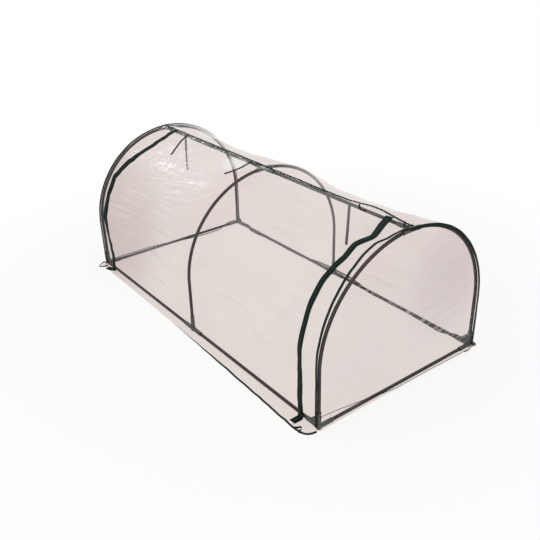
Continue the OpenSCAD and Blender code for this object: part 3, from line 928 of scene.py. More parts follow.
class Finishes:
    """Every finish of the tunnel, built once."""

    def __init__(self) -> None:
        """Builds the materials."""
        self.coat = HardFinish(
            "brown_powder_coat", base=(0.013, 0.0085, 0.0075, 1.0), rubbed=(0.06, 0.05, 0.046, 1.0),
            roughness=0.40, grain_scale=1100.0, grain_depth=0.0002, scuffing=0.35, shine=0.3).material()
        self.mould = HardFinish(
            "moulded_connector_plastic", base=(0.066, 0.084, 0.078, 1.0), rubbed=(0.17, 0.20, 0.19, 1.0),
            roughness=0.48, grain_scale=700.0, grain_depth=0.0002, scuffing=0.5).material()
        self.plate = HardFinish(
            "painted_slider_metal", base=(0.035, 0.055, 0.048, 1.0), rubbed=(0.45, 0.46, 0.45, 1.0),
            roughness=0.34, grain_scale=1500.0, grain_depth=0.0001, scuffing=0.7, metallic=0.6).material()
        self.teeth = HardFinish(
            "moulded_zip_teeth", base=(0.012, 0.026, 0.021, 1.0), rubbed=(0.05, 0.08, 0.07, 1.0),
            roughness=0.42, grain_scale=1500.0, grain_depth=0.0001, scuffing=0.3).material()
        self.binding = TapeFinish(
            "woven_binding", thread_colour=(0.010, 0.028, 0.021, 1.0),
            shade_colour=(0.003, 0.010, 0.007, 1.0), thread=0.0010, stitch_at=0.0038).material()
        self.zip_tape = TapeFinish(
            "zip_tape", thread_colour=(0.007, 0.023, 0.018, 1.0),
            shade_colour=(0.002, 0.008, 0.006, 1.0), thread=0.0008, stitch_at=0.0155).material()
        self.tie = TapeFinish(
            "tie_tape", thread_colour=(0.022, 0.020, 0.020, 1.0),
            shade_colour=(0.008, 0.007, 0.007, 1.0), thread=0.0009).material()
        # Tint of the painted shade along the film's creases
        crease_shade = (0.58, 0.50, 0.48, 1.0)
        self.cover = self.cover_film(crease_shade).material()
        self.ends = self.end_film(crease_shade).material()

    @staticmethod
    def cover_film(crease_shade: Colour) -> FilmFinish:
        """Film over the hoops, creased most in the left bay; painted glints there and on the ridge, painted
        shade on the left.

        Args:
            crease_shade: tint of the painted shade along the creases.

        Returns:
            The finish, with areas in metres along the ridge and round the hoop.
        """
        # Crease lines: the darker ones carry painted shade, the whiter ones painted glints
        slants = Streaks(lean=(0.0, 1.0), pitch=40.0, sparse=0.44, strength=0.22, colour=crease_shade,
                         soft=0.06)
        gleams = Streaks(lean=(-0.04, 0.999), pitch=30.0, sparse=0.36, glint_white=0.34,
                         area=(-0.62, -0.40, 0.80, 0.46))
        swags = Streaks(lean=(-0.22, 0.975), pitch=36.0, sparse=0.20, bend=0.07, soft=0.045, glint_white=0.46,
                        area=(-0.50, -0.31, 0.58, 0.22))
        fan = Streaks(lean=(0.02, 1.0), pitch=30.0, sparse=0.20, strength=0.80, colour=crease_shade,
                      soft=0.04, glint_white=0.08, area=(-0.62, -0.74, 0.62, 0.42))
        # Patches of painted glints: left bay, ridge ends, seam, beside the middle hoop; behind_left is a
        # coarse painted sheen that veils the far hoop
        glints = GlintPatch(area=(-0.56, -0.140, 0.44, 0.170), scale=150.0, cover=0.90, strength=0.30)
        left_top = GlintPatch(area=(-0.96, -0.01, 0.13, 0.075), scale=60.0, cover=0.82, strength=0.8)
        mid_top = GlintPatch(area=(0.0, 0.0, 0.10, 0.045), scale=60.0, cover=0.90, strength=0.7)
        seam = GlintPatch(area=(-0.50, -0.012, 0.55, 0.024), scale=60.0, cover=0.93, strength=0.7)
        behind_left = GlintPatch(area=(-0.80, 0.30, 0.34, 0.24), scale=22.0, cover=0.30, strength=0.34)
        beside_mid = GlintPatch(area=(-0.15, -0.075, 0.13, 0.075), scale=60.0, cover=0.60, strength=0.40)
        # Painted shade over the left bay and its foot
        left_bay = Shade(area=(-0.62, -0.36, 0.60, 0.60), tint=(0.735, 0.655, 0.627, 1.0), strength=0.85)
        left_foot = Shade(area=(-0.88, -0.72, 0.58, 0.52), tint=(0.620, 0.525, 0.500, 1.0), strength=0.85)
        return FilmFinish(
            "clear_cover_film", creases=(slants, gleams, swags, fan),
            glint_patches=(glints, left_top, mid_top, seam, behind_left, beside_mid),
            shades=(left_bay, left_foot), crease_depth=0.0025, veil=0.10)

    @staticmethod
    def end_film(crease_shade: Colour) -> FilmFinish:
        """Film of the end panels, with fold lines across and a darker far shoulder of painted shade.

        Args:
            crease_shade: tint of the painted shade along the creases.

        Returns:
            The finish, with areas in metres across the tunnel and upwards.
        """
        # Fold lines: folds darken with painted shade, rays whiten with painted glints
        folds = Streaks(lean=(-0.06, 0.998), pitch=26.0, sparse=0.44, strength=0.16, colour=crease_shade,
                        bend=0.03)
        rays = Streaks(lean=(-0.16, 0.987), pitch=26.0, sparse=0.36, bend=0.03, glint_white=0.62)
        # Painted shade on the far shoulder
        far_shoulder = Shade(area=(0.26, 0.46, 0.30, 0.36), tint=(0.66, 0.575, 0.590, 1.0), strength=0.70)
        return FilmFinish("clear_end_film", creases=(folds, rays), glint_patches=(), shades=(far_shoulder,),
                          crease_depth=0.001, veil=0.07)


def finish_mesh(name: str, shape: bmesh.types.BMesh, material: bpy.types.Material, slot: str,
                *replaced: str) -> bpy.types.Object:
    """Turns a bmesh into a smooth piece that rides on the tunnel.

    Args:
        name: the piece's name.
        shape: its bmesh, which is freed.
        material: its finish.
        slot: the record's material slot; not used.
        replaced: CAD nodes that it stands for.

    Returns:
        The new object.
    """
    mesh = bpy.data.meshes.new(name)
    for vert in shape.verts:
        vert.co.z = max(vert.co.z, GROUND_Z)
    for face in shape.faces:
        face.smooth = True
    shape.to_mesh(mesh)
    shape.free()
    mesh.materials.append(material)
    piece = bpy.data.objects.new(name, mesh)
    bpy.context.scene.collection.objects.link(piece)
    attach(piece, BODY)
    if replaced:
        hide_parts(*replaced)
    LOG.info("%s: %d faces", name, len(mesh.polygons))
    return piece


def joined(shapes: Sequence[bmesh.types.BMesh]) -> bmesh.types.BMesh:
    """Puts several bmeshes into one and frees them.

    Args:
        shapes: the bmeshes.

    Returns:
        The one that holds them all.
    """
    whole = bmesh.new()
    for shape in shapes:
        mesh = bpy.data.meshes.new("part_of_piece")
        shape.to_mesh(mesh)
        shape.free()
        whole.from_mesh(mesh)
        bpy.data.meshes.remove(mesh)
    return whole


def mapped_grid(columns: int, rows: int, place: Grid) -> bmesh.types.BMesh:
    """A grid whose points are moved to a surface.

    Args:
        columns: faces along u.
        rows: faces along v.
        place: gives the point and its UV in metres at u, v from 0 to 1.

    Returns:
        The shaped grid, with a UV map.
    """
    shape = bmesh.new()
    bmesh.ops.create_grid(shape, x_segments=columns, y_segments=rows, size=0.5)
    layer = shape.loops.layers.uv.new("UVMap")
    spots: Dict[bmesh.types.BMVert, Tuple[float, float]] = {}
    for vert in shape.verts:
        point, spot = place(vert.co.x + 0.5, vert.co.y + 0.5)
        vert.co = point
        spots[vert] = spot
    for face in shape.faces:
        for loop in face.loops:
            loop[layer].uv = spots[loop.vert]
    return shape


def mark_free(shape: bmesh.types.BMesh, to_tube: Callable[[Vector], float]) -> None:
    """Stores on a film's points how freely it hangs there, for its finish.

    Args:
        shape: the film.
        to_tube: distance of a point from the nearest tube that the film lies on.
    """
    layers = shape.verts.layers.float
    layers.new(FREE)
    layers.new(LOOSE)
    free, loose = layers[FREE], layers[LOOSE]
    for vert in shape.verts:
        away = to_tube(vert.co)
        vert[free] = smooth_step(*FREE_FROM_TO, away)
        vert[loose] = smooth_step(*LOOSE_FROM_TO, away)


def spline(points: Sequence[Vector], count: int) -> List[Vector]:
    """Even points on a smooth curve through the given ones.

    Args:
        points: what the curve passes through.
        count: how many points to give.

    Returns:
        The points, from the first to the last.
    """
    fine: List[Vector] = []
    per_span = 12
    last = len(points) - 1
    for i in range(last):
        p0, p1 = points[max(0, i - 1)], points[i]
        p2, p3 = points[i + 1], points[min(last, i + 2)]
        for k in range(per_span):
            t = k / per_span
            fine.append(0.5 * (2 * p1 + (p2 - p0) * t + (2 * p0 - 5 * p1 + 4 * p2 - p3) * t * t
                               + (3 * p1 - p0 - 3 * p2 + p3) * t * t * t))
    fine.append(points[last].copy())
    lengths = [0.0]
    for a, b in zip(fine, fine[1:]):
        lengths.append(lengths[-1] + (b - a).length)
    even: List[Vector] = []
    k = 0
    for i in range(count):
        want = lengths[-1] * i / (count - 1)
        while k < len(fine) - 2 and lengths[k + 1] < want:
            k += 1
        span = lengths[k + 1] - lengths[k]
        even.append(fine[k].lerp(fine[k + 1], (want - lengths[k]) / span if span else 0.0))
    return even


def ribbon(path: Sequence[Vector], wide: Callable[[int], Vector], width: float, thick: float,
           sides: int = 10, taper: Callable[[int], float] = lambda i: 1.0) -> bmesh.types.BMesh:
    """A flat tape with rounded edges along a path.

    Args:
        path: centre points.
        wide: direction across the tape at a point's number.
        width: of the tape.
        thick: of the tape.
        sides: faces round the tape.
        taper: share of the width at a point's number.

    Returns:
        A closed tube of flat section, with a UV map in metres along and across.
    """
    squareness, crown = 0.45, 0.8
    frames: List[Tuple[Vector, Vector]] = []
    runs = [0.0]
    for i, point in enumerate(path):
        ahead = (path[min(i + 1, len(path) - 1)] - path[max(i - 1, 0)]).normalized()
        across = wide(i)
        across = (across - ahead * across.dot(ahead)).normalized()
        frames.append((across, ahead.cross(across)))
        if i:
            runs.append(runs[-1] + (point - path[i - 1]).length)

    def place(u: float, v: float) -> Tuple[Vector, Tuple[float, float]]:
        """A point round the tape.

        Args:
            u: share of the way along the path.
            v: share of the way round the tape.

        Returns:
            The point, and its UV in metres.
        """
        i = round(u * (len(path) - 1))
        angle = 2 * math.pi * v
        side = math.copysign(abs(math.cos(angle)) ** squareness, math.cos(angle)) * width / 2 * taper(i)
        up = math.copysign(abs(math.sin(angle)) ** crown, math.sin(angle)) * thick / 2
        return path[i] + frames[i][0] * side + frames[i][1] * up, (runs[i], side)

    shape = mapped_grid(len(path) - 1, sides, place)
    bmesh.ops.remove_doubles(shape, verts=shape.verts, dist=1e-6)
    bmesh.ops.holes_fill(shape, edges=[e for e in shape.edges if e.is_boundary], sides=0)
    bmesh.ops.recalc_face_normals(shape, faces=shape.faces)
    return shape


@dataclass
class CoverFilm:
    """The film over the hoops: back sheet, front door and the strips beside the zips.

    A panel stops short of the ridge seam by seam and of the middle of a zip by chain. Its flat area, out
    to a hem on the ground and a little less for its creases, is worked out but not used.
    """

    finishes: Finishes
    step: float = 0.0125
    seam: float = 0.001
    chain: float = 0.003
    foot_rows: int = 8
    foot_uv: float = 0.06
    hem: float = 0.05
    pulled_in: float = 0.98

    def panel(self, name: str, side: Side, left: Edge, right: Edge) -> bpy.types.Object:
        """Builds and dresses one panel from the ridge to the edge of its skirt.

        Args:
            name: the CAD node that it stands for, and its name with _film after it.
            side: front or back.
            left: x of its left edge at s.
            right: x of its right edge at s.

        Returns:
            The panel.
        """
        widest = max(right(side.value * q * 0.1) - left(side.value * q * 0.1) for q in range(11))
        columns = max(8, 2 * round(widest / self.step / 2))
        wall_rows = round(TUNNEL.s_wall / self.step)
        rows = wall_rows + self.foot_rows

        def place(u: float, v: float) -> Tuple[Vector, Tuple[float, float]]:
            """A point of the panel, from the front's foot upwards or from the ridge backwards.

            Args:
                u: share of the way from the left edge to the right.
                v: share of the way from the first row to the last.

            Returns:
                The point, and its UV in metres.
            """
            row = round((1 - v if side is Side.FRONT else v) * rows)
            length = self.seam + (TUNNEL.s_wall - self.seam) * min(1.0, row / wall_rows)
            if row > wall_rows:
                length = TUNNEL.s_wall + (row - wall_rows) / self.foot_rows
            s = side.value * length
            at = side.value * min(length, TUNNEL.s_wall)
            x = left(at) + (right(at) - left(at)) * u
            foot = max(0.0, length - TUNNEL.s_wall)
            return TUNNEL.at(x, s), (x, side.value * (min(length, TUNNEL.s_wall) + self.foot_uv * foot))

        shape = mapped_grid(columns, rows, place)
        mark_free(shape, lambda point: min(abs(point.x), abs(abs(point.x) - TUNNEL.half_l), point.z))
        piece = finish_mesh(f"{name}_film", shape, self.finishes.cover, "film", name)
        reach = TUNNEL.s_wall + TUNNEL.s_bend + self.hem
        area = self.pulled_in * self._area(side, left, right, reach)
        return piece

    def _area(self, side: Side, left: Edge, right: Edge, reach: float) -> float:
        """Flat area of a panel between its edges.

        Args:
            side: front or back.
            left: x of its left edge at s.
            right: x of its right edge at s.
            reach: length from the ridge to the edge of the skirt.

        Returns:
            Square metres.
        """
        steps = 40
        widths = [right(side.value * reach * i / steps) - left(side.value * reach * i / steps)
                  for i in range(steps + 1)]
        return reach * sum(widths) / (steps + 1)

    def build(self) -> None:
        """Builds the four panels."""
        edge = TUNNEL.edge_x
        self.panel("back_sheet", Side.BACK, lambda s: -edge, lambda s: edge)
        self.panel("front_door", Side.FRONT, lambda s: TUNNEL.left_zip(s) + self.chain,
                   lambda s: TUNNEL.right_zip(s) - self.chain)
        self.panel("left_front_strip", Side.FRONT, lambda s: -edge,
                   lambda s: TUNNEL.left_zip(s) - self.chain)
        self.panel("right_front_strip", Side.FRONT, lambda s: TUNNEL.right_zip(s) + self.chain,
                   lambda s: edge)


@dataclass
class EndFilm:
    """A D-shaped end panel, loose between its hoop and the ground."""

    end: End
    finishes: Finishes
    columns: int = 72
    rows: int = 66
    foot_rows: int = 6
    tuck_w: float = 0.040
    short_hem: float = 0.011
    ridden_up: float = 0.058
    sewn_in: float = 0.05

    @property
    def half(self) -> float:
        """Half the width of the panel, up to the cover."""
        return TUNNEL.arc_r + TUNNEL.socket_r

    def hem(self, y: float) -> float:
        """How far the panel runs on past its turn at y, as a height less than 0.

        Args:
            y: place across the tunnel.

        Returns:
            The height of the hem.
        """
        if self.end is End.LEFT:
            return -(TUNNEL.s_bend + TUNNEL.skirt_end)
        return -(self.short_hem + 0.004 * smooth_step(0.10, 0.40, y))

    def tape_line(self, y: float) -> float:
        """Height of the hem tape at y: the right one has ridden up near the front corner.

        Args:
            y: place across the tunnel.

        Returns:
            The height of the tape's middle.
        """
        if self.end is End.LEFT:
            return self.hem(y)
        ridden = self.ridden_up * min(1.0, max(0.0, (-0.10 - y) / 0.36)) + 0.004 * swell(9.0 * y, 0.3)
        up = smooth_step(-0.02, -0.16, y)
        return self.hem(y) * (1 - up) + ridden * up

    def tuck(self, y: float) -> float:
        """Share of its tuck in under the rail that the left hem has at y.

        Args:
            y: place across the tunnel.

        Returns:
            A share from 0 to 1.
        """
        if self.end is End.RIGHT:
            return 0.0
        return smooth_step(-0.22, 0.22, y) * (1 - smooth_step(0.30, 0.455, y))

    def rim(self, y: float, z: float) -> float:
        """Distance of a point of the panel from its edge on the hoop."""
        return self.half - math.hypot(y, max(0.0, z - TUNNEL.leg))

    def slack(self, y: float, z: float) -> float:
        """How far the loose panel stands out at y, z.

        Args:
            y: place across the tunnel.
            z: height above the ground.

        Returns:
            Distance outwards in metres.
        """
        rim = self.rim(y, z)
        free = smooth_step(0.012, 0.10, rim) * smooth_step(0.0, 0.10, z - 0.01)
        seed = 11.0 + self.end.value
        belly = -0.010 * free * smooth_step(0.0, 0.35, rim)
        angle = math.atan2(z, 0.56 + y * self.end.value)
        rays = 0.0020 * crease(9.0 * angle, 0.8 * z, seed)
        broad = 0.0055 * swell(3.5 * y, 3.0 * z, seed)
        fine = 0.0011 * crease(13.0 * y + 9.0 * z, 5.0 * z - 4.0 * y, seed + 2)
        return belly + free * (rays + broad + fine)

    def point(self, y: float, height: float) -> Vector:
        """A point of the panel.

        Args:
            y: place across the tunnel.
            height: above the turn at the foot; less than 0 runs on over the skirt.

        Returns:
            The point in the tunnel's frame.
        """
        sign = self.end.value
        if height >= 0:
            z = TUNNEL.bend_z + height
            return Vector((sign * (TUNNEL.end_x + self.slack(y, z)), y, z))
        run = -height
        angle = min(math.pi / 2, run / TUNNEL.bend)
        beyond = max(0.0, run - TUNNEL.s_bend)
        tucked = self.tuck(y)
        out = (TUNNEL.bend * (1 - math.cos(angle)) + beyond) * (1 - tucked)
        inward = self.tuck_w * tucked * beyond / TUNNEL.skirt_end
        z = TUNNEL.skirt_z + TUNNEL.bend * (1 - math.sin(angle))
        return Vector((sign * (TUNNEL.end_x + out - inward), y, z))

    def build(self) -> bpy.types.Object:
        """Builds and dresses the panel.

        Returns:
            The panel.
        """
        top = TUNNEL.leg + self.half - TUNNEL.bend_z

        def place(u: float, v: float) -> Tuple[Vector, Tuple[float, float]]:
            """A point of the panel from left to right, seen from outside, and from the hem up.

            Args:
                u: share of the way across.
                v: share of the rows from the hem up.

            Returns:
                The point, and its UV in metres.
            """
            across = (2 * u - 1) * self.end.value
            row = round(v * self.rows) - self.foot_rows
            level = max(0, row) / (self.rows - self.foot_rows)
            height = top * math.sin(level * math.pi / 2) ** 0.9
            rise = max(0.0, TUNNEL.bend_z + height - TUNNEL.leg)
            y = across * math.sqrt(max(0.0, self.half ** 2 - rise ** 2))
            if row < 0:
                height = self.hem(y) * -row / self.foot_rows
            return self.point(y, height), (y, height)

        shape = mapped_grid(self.columns, self.rows, place)
        bmesh.ops.remove_doubles(shape, verts=shape.verts, dist=1e-5)
        mark_free(shape, lambda point: min(self.rim(point.y, point.z), point.z))
        name = f"{self.end.name.lower()}_end_panel"
        piece = finish_mesh(f"{name}_film", shape, self.finishes.ends, "film", name)
        return piece


@dataclass
class Zip:
    """A zip down the front: woven tape, interlocked teeth, slider and pull."""

    name: str
    centre: Callable[[float], float]
    finishes: Finishes
    tape_w: float = 0.036
    tape_t: float = 0.0011
    lift: float = 0.0011
    pitch: float = 0.0036
    top: float = 0.007
    hem: float = 0.80
    rows: int = 130
    foot_rows: int = 8
    flat_from: float = 0.3
    tooth: Tuple[float, float, float] = (0.0034, 0.0014, 0.0015)
    tooth_up: float = 0.0011
    tooth_in: float = 0.0009
    tooth_round: float = 0.0003
    slider_z: float = 0.030
    slider_out: float = 0.0035
    slider_size: Tuple[float, float, float] = (0.0098, 0.0036, 0.016)
    slider_taper: float = 0.74
    slider_round: float = 0.0009
    bail_r: float = 0.0045
    bail_wire_r: float = 0.0008
    bail_at: Tuple[float, float, float] = (0.0, -0.0014, 0.0)
    tab_at: Tuple[float, float, float] = (0.0, -0.0042, -0.0105)
    tab_size: Tuple[float, float, float] = (0.0066, 0.0012, 0.024)
    tab_round: float = 0.0018
    tab_rim: float = 0.0011
    tab_dish: float = 0.0003

    def points(self) -> Tuple[List[float], List[Vector], List[Vector]]:
        """Stations of the tape from the ridge to the hem: s, centre points and directions across.

        Returns:
            The places s, the centre points and the directions across.
        """
        runs: List[float] = []
        for i in range(self.rows + 1):
            runs.append(-(self.top + (TUNNEL.s_wall - self.top) * i / self.rows))
        for k in range(self.foot_rows):
            runs.append(-(TUNNEL.s_wall + self.hem * (k + 1) / self.foot_rows))
        middle: List[Vector] = []
        across: List[Vector] = []
        for s in runs:
            x = self.centre(s)
            normal = self.stand(x, s)
            middle.append(TUNNEL.at(x, s) + normal * self.lift)
            across.append(TUNNEL.at(x + self.tape_w / 3, s) - TUNNEL.at(x - self.tape_w / 3, s))
        return runs, middle, across

    def stand(self, x: float, s: float) -> Vector:
        """Outward direction for the tape, straight up on the skirt.

        Args:
            x: place along the ridge.
            s: place round the hoop.

        Returns:
            A direction of length 1.
        """
        past = abs(s) - TUNNEL.s_wall
        if past > self.flat_from:
            return Vector((0.0, 0.0, 1.0))
        if past > -0.004:
            return Vector((0.0, -1.0, 0.6)).normalized()
        return TUNNEL.normal(x, s)

    def tape(self) -> bpy.types.Object:
        """The woven tape.

        Returns:
            The tape.
        """
        _, middle, across = self.points()
        shape = ribbon(middle, lambda i: across[i], self.tape_w, self.tape_t)
        return finish_mesh(f"{self.name}_tape", shape, self.finishes.zip_tape, "zip", self.name)

    def teeth(self) -> bpy.types.Object:
        """Two rows of small teeth that mesh along the middle of the tape.

        Returns:
            All the teeth as one piece.
        """
        _, middle, across = self.points()
        total = sum((b - a).length for a, b in zip(middle, middle[1:]))
        count = int(total / self.pitch * 2)
        line = spline(middle[::2] + [middle[-1]], count)
        shape = bmesh.new()
        bmesh.ops.create_cube(shape, size=1.0, matrix=Matrix.Diagonal(Vector(self.tooth).to_4d()))
        bmesh.ops.bevel(shape, geom=shape.edges[:], offset=self.tooth_round, affect="EDGES", segments=1,
                        profile=0.5, material=-1)
        model = shape.verts[:] + shape.edges[:] + shape.faces[:]
        for i in range(1, count - 1):
            ahead = (line[i + 1] - line[i - 1]).normalized()
            guess = across[min(len(across) - 1, round(i * (len(across) - 1) / count))]
            side = (guess - ahead * guess.dot(ahead)).normalized()
            up = side.cross(ahead)
            up = up if up.dot(Vector((0.0, -0.5, 1.0))) > 0 else -up
            at = line[i] + up * self.tooth_up + side * (self.tooth_in if i % 2 else -self.tooth_in)
            turn = Matrix((side, ahead, up)).transposed().to_4x4()
            copy = bmesh.ops.duplicate(shape, geom=model)
            moved = [v for v in copy["geom"] if isinstance(v, bmesh.types.BMVert)]
            bmesh.ops.transform(shape, matrix=Matrix.Translation(at) @ turn, verts=moved)
        first = [v for v in model if isinstance(v, bmesh.types.BMVert)]
        bmesh.ops.delete(shape, geom=first, context="VERTS")
        bmesh.ops.recalc_face_normals(shape, faces=shape.faces)
        return finish_mesh(f"{self.name}_teeth", shape, self.finishes.teeth, "zip")

    def slider(self) -> bmesh.types.BMesh:
        """The slider body, its bail and its pull tab, in place near the foot of the zip.

        Returns:
            The slider's bmesh.
        """
        s = -(TUNNEL.s_wall - self.slider_z)
        x = self.centre(s)
        at = TUNNEL.at(x, s) + Vector((0.0, -1.0, 0.0)) * (self.lift + self.slider_out)
        shape = bmesh.new()
        body = bmesh.ops.create_cube(shape, size=1.0, matrix=Matrix.Diagonal(self.slider_size + (1.0,)))
        for vert in body["verts"]:
            if vert.co.z < 0:
                vert.co.x *= self.slider_taper
        bmesh.ops.bevel(shape, geom=shape.edges[:], offset=self.slider_round, affect="EDGES", segments=2,
                        profile=0.5, material=-1)
        ring = bmesh.ops.create_circle(shape, cap_ends=True, segments=8, radius=self.bail_wire_r,
                                       matrix=Matrix.Translation((0.0, 0.0, self.bail_r)))
        disc = [f for f in shape.faces if set(f.verts) == set(ring["verts"])]
        bmesh.ops.spin(shape, geom=ring["verts"] + disc, cent=self.bail_at, axis=(1.0, 0.0, 0.0),
                       angle=math.pi, steps=10)
        tab = bmesh.ops.create_cube(shape, size=1.0, matrix=Matrix.Translation(self.tab_at)
                                    @ Matrix.Diagonal(self.tab_size + (1.0,)))
        edges = {edge for vert in tab["verts"] for edge in vert.link_edges
                 if abs(edge.verts[0].co.y - edge.verts[1].co.y) > self.tab_size[1] / 2}
        bmesh.ops.bevel(shape, geom=list(edges), offset=self.tab_round, affect="EDGES", segments=4,
                        profile=0.5, material=-1)
        front = [f for f in shape.faces if f.normal.y < -0.99 and f.calc_center_median().y < -0.0045]
        bmesh.ops.inset_region(shape, faces=front, thickness=self.tab_rim, depth=-self.tab_dish)
        bmesh.ops.translate(shape, vec=at, verts=shape.verts)
        bmesh.ops.recalc_face_normals(shape, faces=shape.faces)
        return shape

    def build(self) -> None:
        """Builds the tape and the teeth."""
        self.tape()
        self.teeth()


def build_sliders(zips: Sequence[Zip], finishes: Finishes) -> bpy.types.Object:
    """Joins the sliders of all zips into one piece.

    Args:
        zips: the zips.
        finishes: the tunnel's finishes.

    Returns:
        The sliders.
    """
    whole = joined([each.slider() for each in zips])
    return finish_mesh("zip_slider_pair", whole, finishes.plate, "slider", "zip_sliders")


@dataclass
class Bindings:
    """Woven tapes sewn along the ridge seam, round both ends and along the hems."""

    finishes: Finishes
    width: float = 0.013
    left_w: float = 0.014
    right_w: float = 0.017
    hem_w: float = 0.0095
    thick: float = 0.0018
    lift: float = 0.0012
    over_hoop: float = 0.0125
    stand_out: float = 0.0065
    stand_over: float = 0.003
    long_steps: int = 260
    hem_steps: int = 240
    end_steps: int = 120
    front_hem_from: float = -0.12
    short_of_end: float = 0.004
    hem_share: float = 0.985

    def ridge(self) -> bpy.types.Object:
        """The seam where the door is sewn to the back sheet.

        Returns:
            The tape.
        """
        reach = TUNNEL.half_l - self.short_of_end
        path: List[Vector] = []
        for i in range(self.long_steps + 1):
            x = -reach + 2 * reach * i / self.long_steps
            s = 0.0035 * swell(6.0 * x, 2.0) + 0.006 * bump_at(x, 0.86, 0.2)
            path.append(TUNNEL.at(x, s, self.lift + 0.0008 * swell(20.0 * x, 4.0)))
        across = Vector((0.0, 1.0, 0.0))
        shape = ribbon(path, lambda i: across, self.width, self.thick)
        return finish_mesh("ridge_seam_tape", shape, self.finishes.binding, "tape", "ridge_binding")

    def slip(self, end: End, s: float) -> float:
        """How far an end seam has slipped in: over the left hoop and over the right front shoulder.

        Args:
            end: left or right.
            s: place round the hoop.

        Returns:
            Distance inwards in metres.
        """
        if end is End.LEFT:
            return self.over_hoop
        if s > 0:
            return 0.0
        share = -s / TUNNEL.s_wall
        ripple = 0.0025 * swell(30.0 * share, 5.0) * bump_at(share, 0.33, 0.30)
        return through_knots(RIGHT_SEAM_KNOTS, share) + ripple

    def round_end(self, end: End) -> bmesh.types.BMesh:
        """The binding over the seam between the cover and an end panel.

        Args:
            end: left or right.

        Returns:
            The tape, flat on the end panel but for the part that has slipped in over the cover.
        """
        path: List[Vector] = []
        across: List[Vector] = []
        for i in range(self.long_steps + 1):
            s = TUNNEL.s_wall * (2 * i / self.long_steps - 1)
            slipped = self.slip(end, s)
            over = smooth_step(0.0, 0.012, slipped)
            ripple = 0.0016 * swell(14.0 * s, 3.0 * end.value)
            flat_x = TUNNEL.edge_x + self.lift
            x = end.value * (flat_x + (TUNNEL.edge_x - slipped - flat_x) * over)
            stand = (self.stand_out - TUNNEL.film_off) * (1 - over) + self.stand_over * over
            path.append(TUNNEL.at(x, s, stand + ripple))
            radial = TUNNEL.normal(x * 0.97, s)
            across.append(radial * (1 - over) + Vector((end.value, 0.0, 0.0)) * over + radial * 0.2 * over)
        width = self.left_w if end is End.LEFT else self.right_w
        return ribbon(path, lambda i: across[i], width, self.thick)

    def ends(self) -> bpy.types.Object:
        """Both end bindings as one piece."""
        whole = joined([self.round_end(end) for end in End])
        return finish_mesh("end_seam_tapes", whole, self.finishes.binding, "tape", "end_bindings")

    def long_hem(self, side: Side) -> List[Vector]:
        """The edge of a long skirt, a little wavy.

        Args:
            side: front or back.

        Returns:
            Centre points of its tape.
        """
        points: List[Vector] = []
        first = -TUNNEL.edge_x if side is Side.BACK else self.front_hem_from
        for i in range(self.hem_steps + 1):
            x = first + (TUNNEL.edge_x - first) * i / self.hem_steps
            edge = TUNNEL.at(x, side.value * (TUNNEL.s_wall + 1.0), 0.0)
            loose = 0.35 + 0.65 * smooth_step(0.5, 0.9, x)
            edge.y += 0.004 * loose * swell(14.0 * x, 6.0, side.value)
            edge.z += 0.0011 + 0.003 * loose * max(0.0, swell(17.0 * x, 1.0, side.value))
            points.append(edge)
        return points

    def end_hem(self, film: EndFilm) -> List[Vector]:
        """The lower edge of an end panel.

        Args:
            film: the end panel.

        Returns:
            Centre points of its tape.
        """
        points: List[Vector] = []
        for i in range(self.end_steps + 1):
            y = film.half * (2 * i / self.end_steps - 1) * self.hem_share
            height = film.tape_line(y)
            edge = film.point(y, height)
            edge.x += film.end.value * (0.0015 + 0.0015 * swell(13.0 * y, 8.0, film.end.value))
            edge.z += self.hem_w / 2 if height < 0 else 0.0
            points.append(edge)
        return points

    def hems(self, films: Sequence[EndFilm]) -> bpy.types.Object:
        """All four hems as one piece.

        Args:
            films: the end panels.

        Returns:
            The tapes.
        """
        runs: List[Tuple[List[Vector], Vector, Callable[[int], float]]] = []
        for side in Side:
            grows = side is Side.FRONT
            runs.append((self.long_hem(side), Vector((0.0, 1.0, 0.3)),
                         lambda i, grows=grows: smooth_step(-20.0, 120.0, i) if grows else 1.0))
        for film in films:
            runs.append((self.end_hem(film), Vector((0.6, 0.0, 0.8)), lambda i: 1.0))
        whole = joined([ribbon(path, lambda i, way=across: way, self.hem_w, self.thick, taper=taper)
                        for path, across, taper in runs])
        return finish_mesh("hem_tapes", whole, self.finishes.binding, "tape", "hem_bindings")


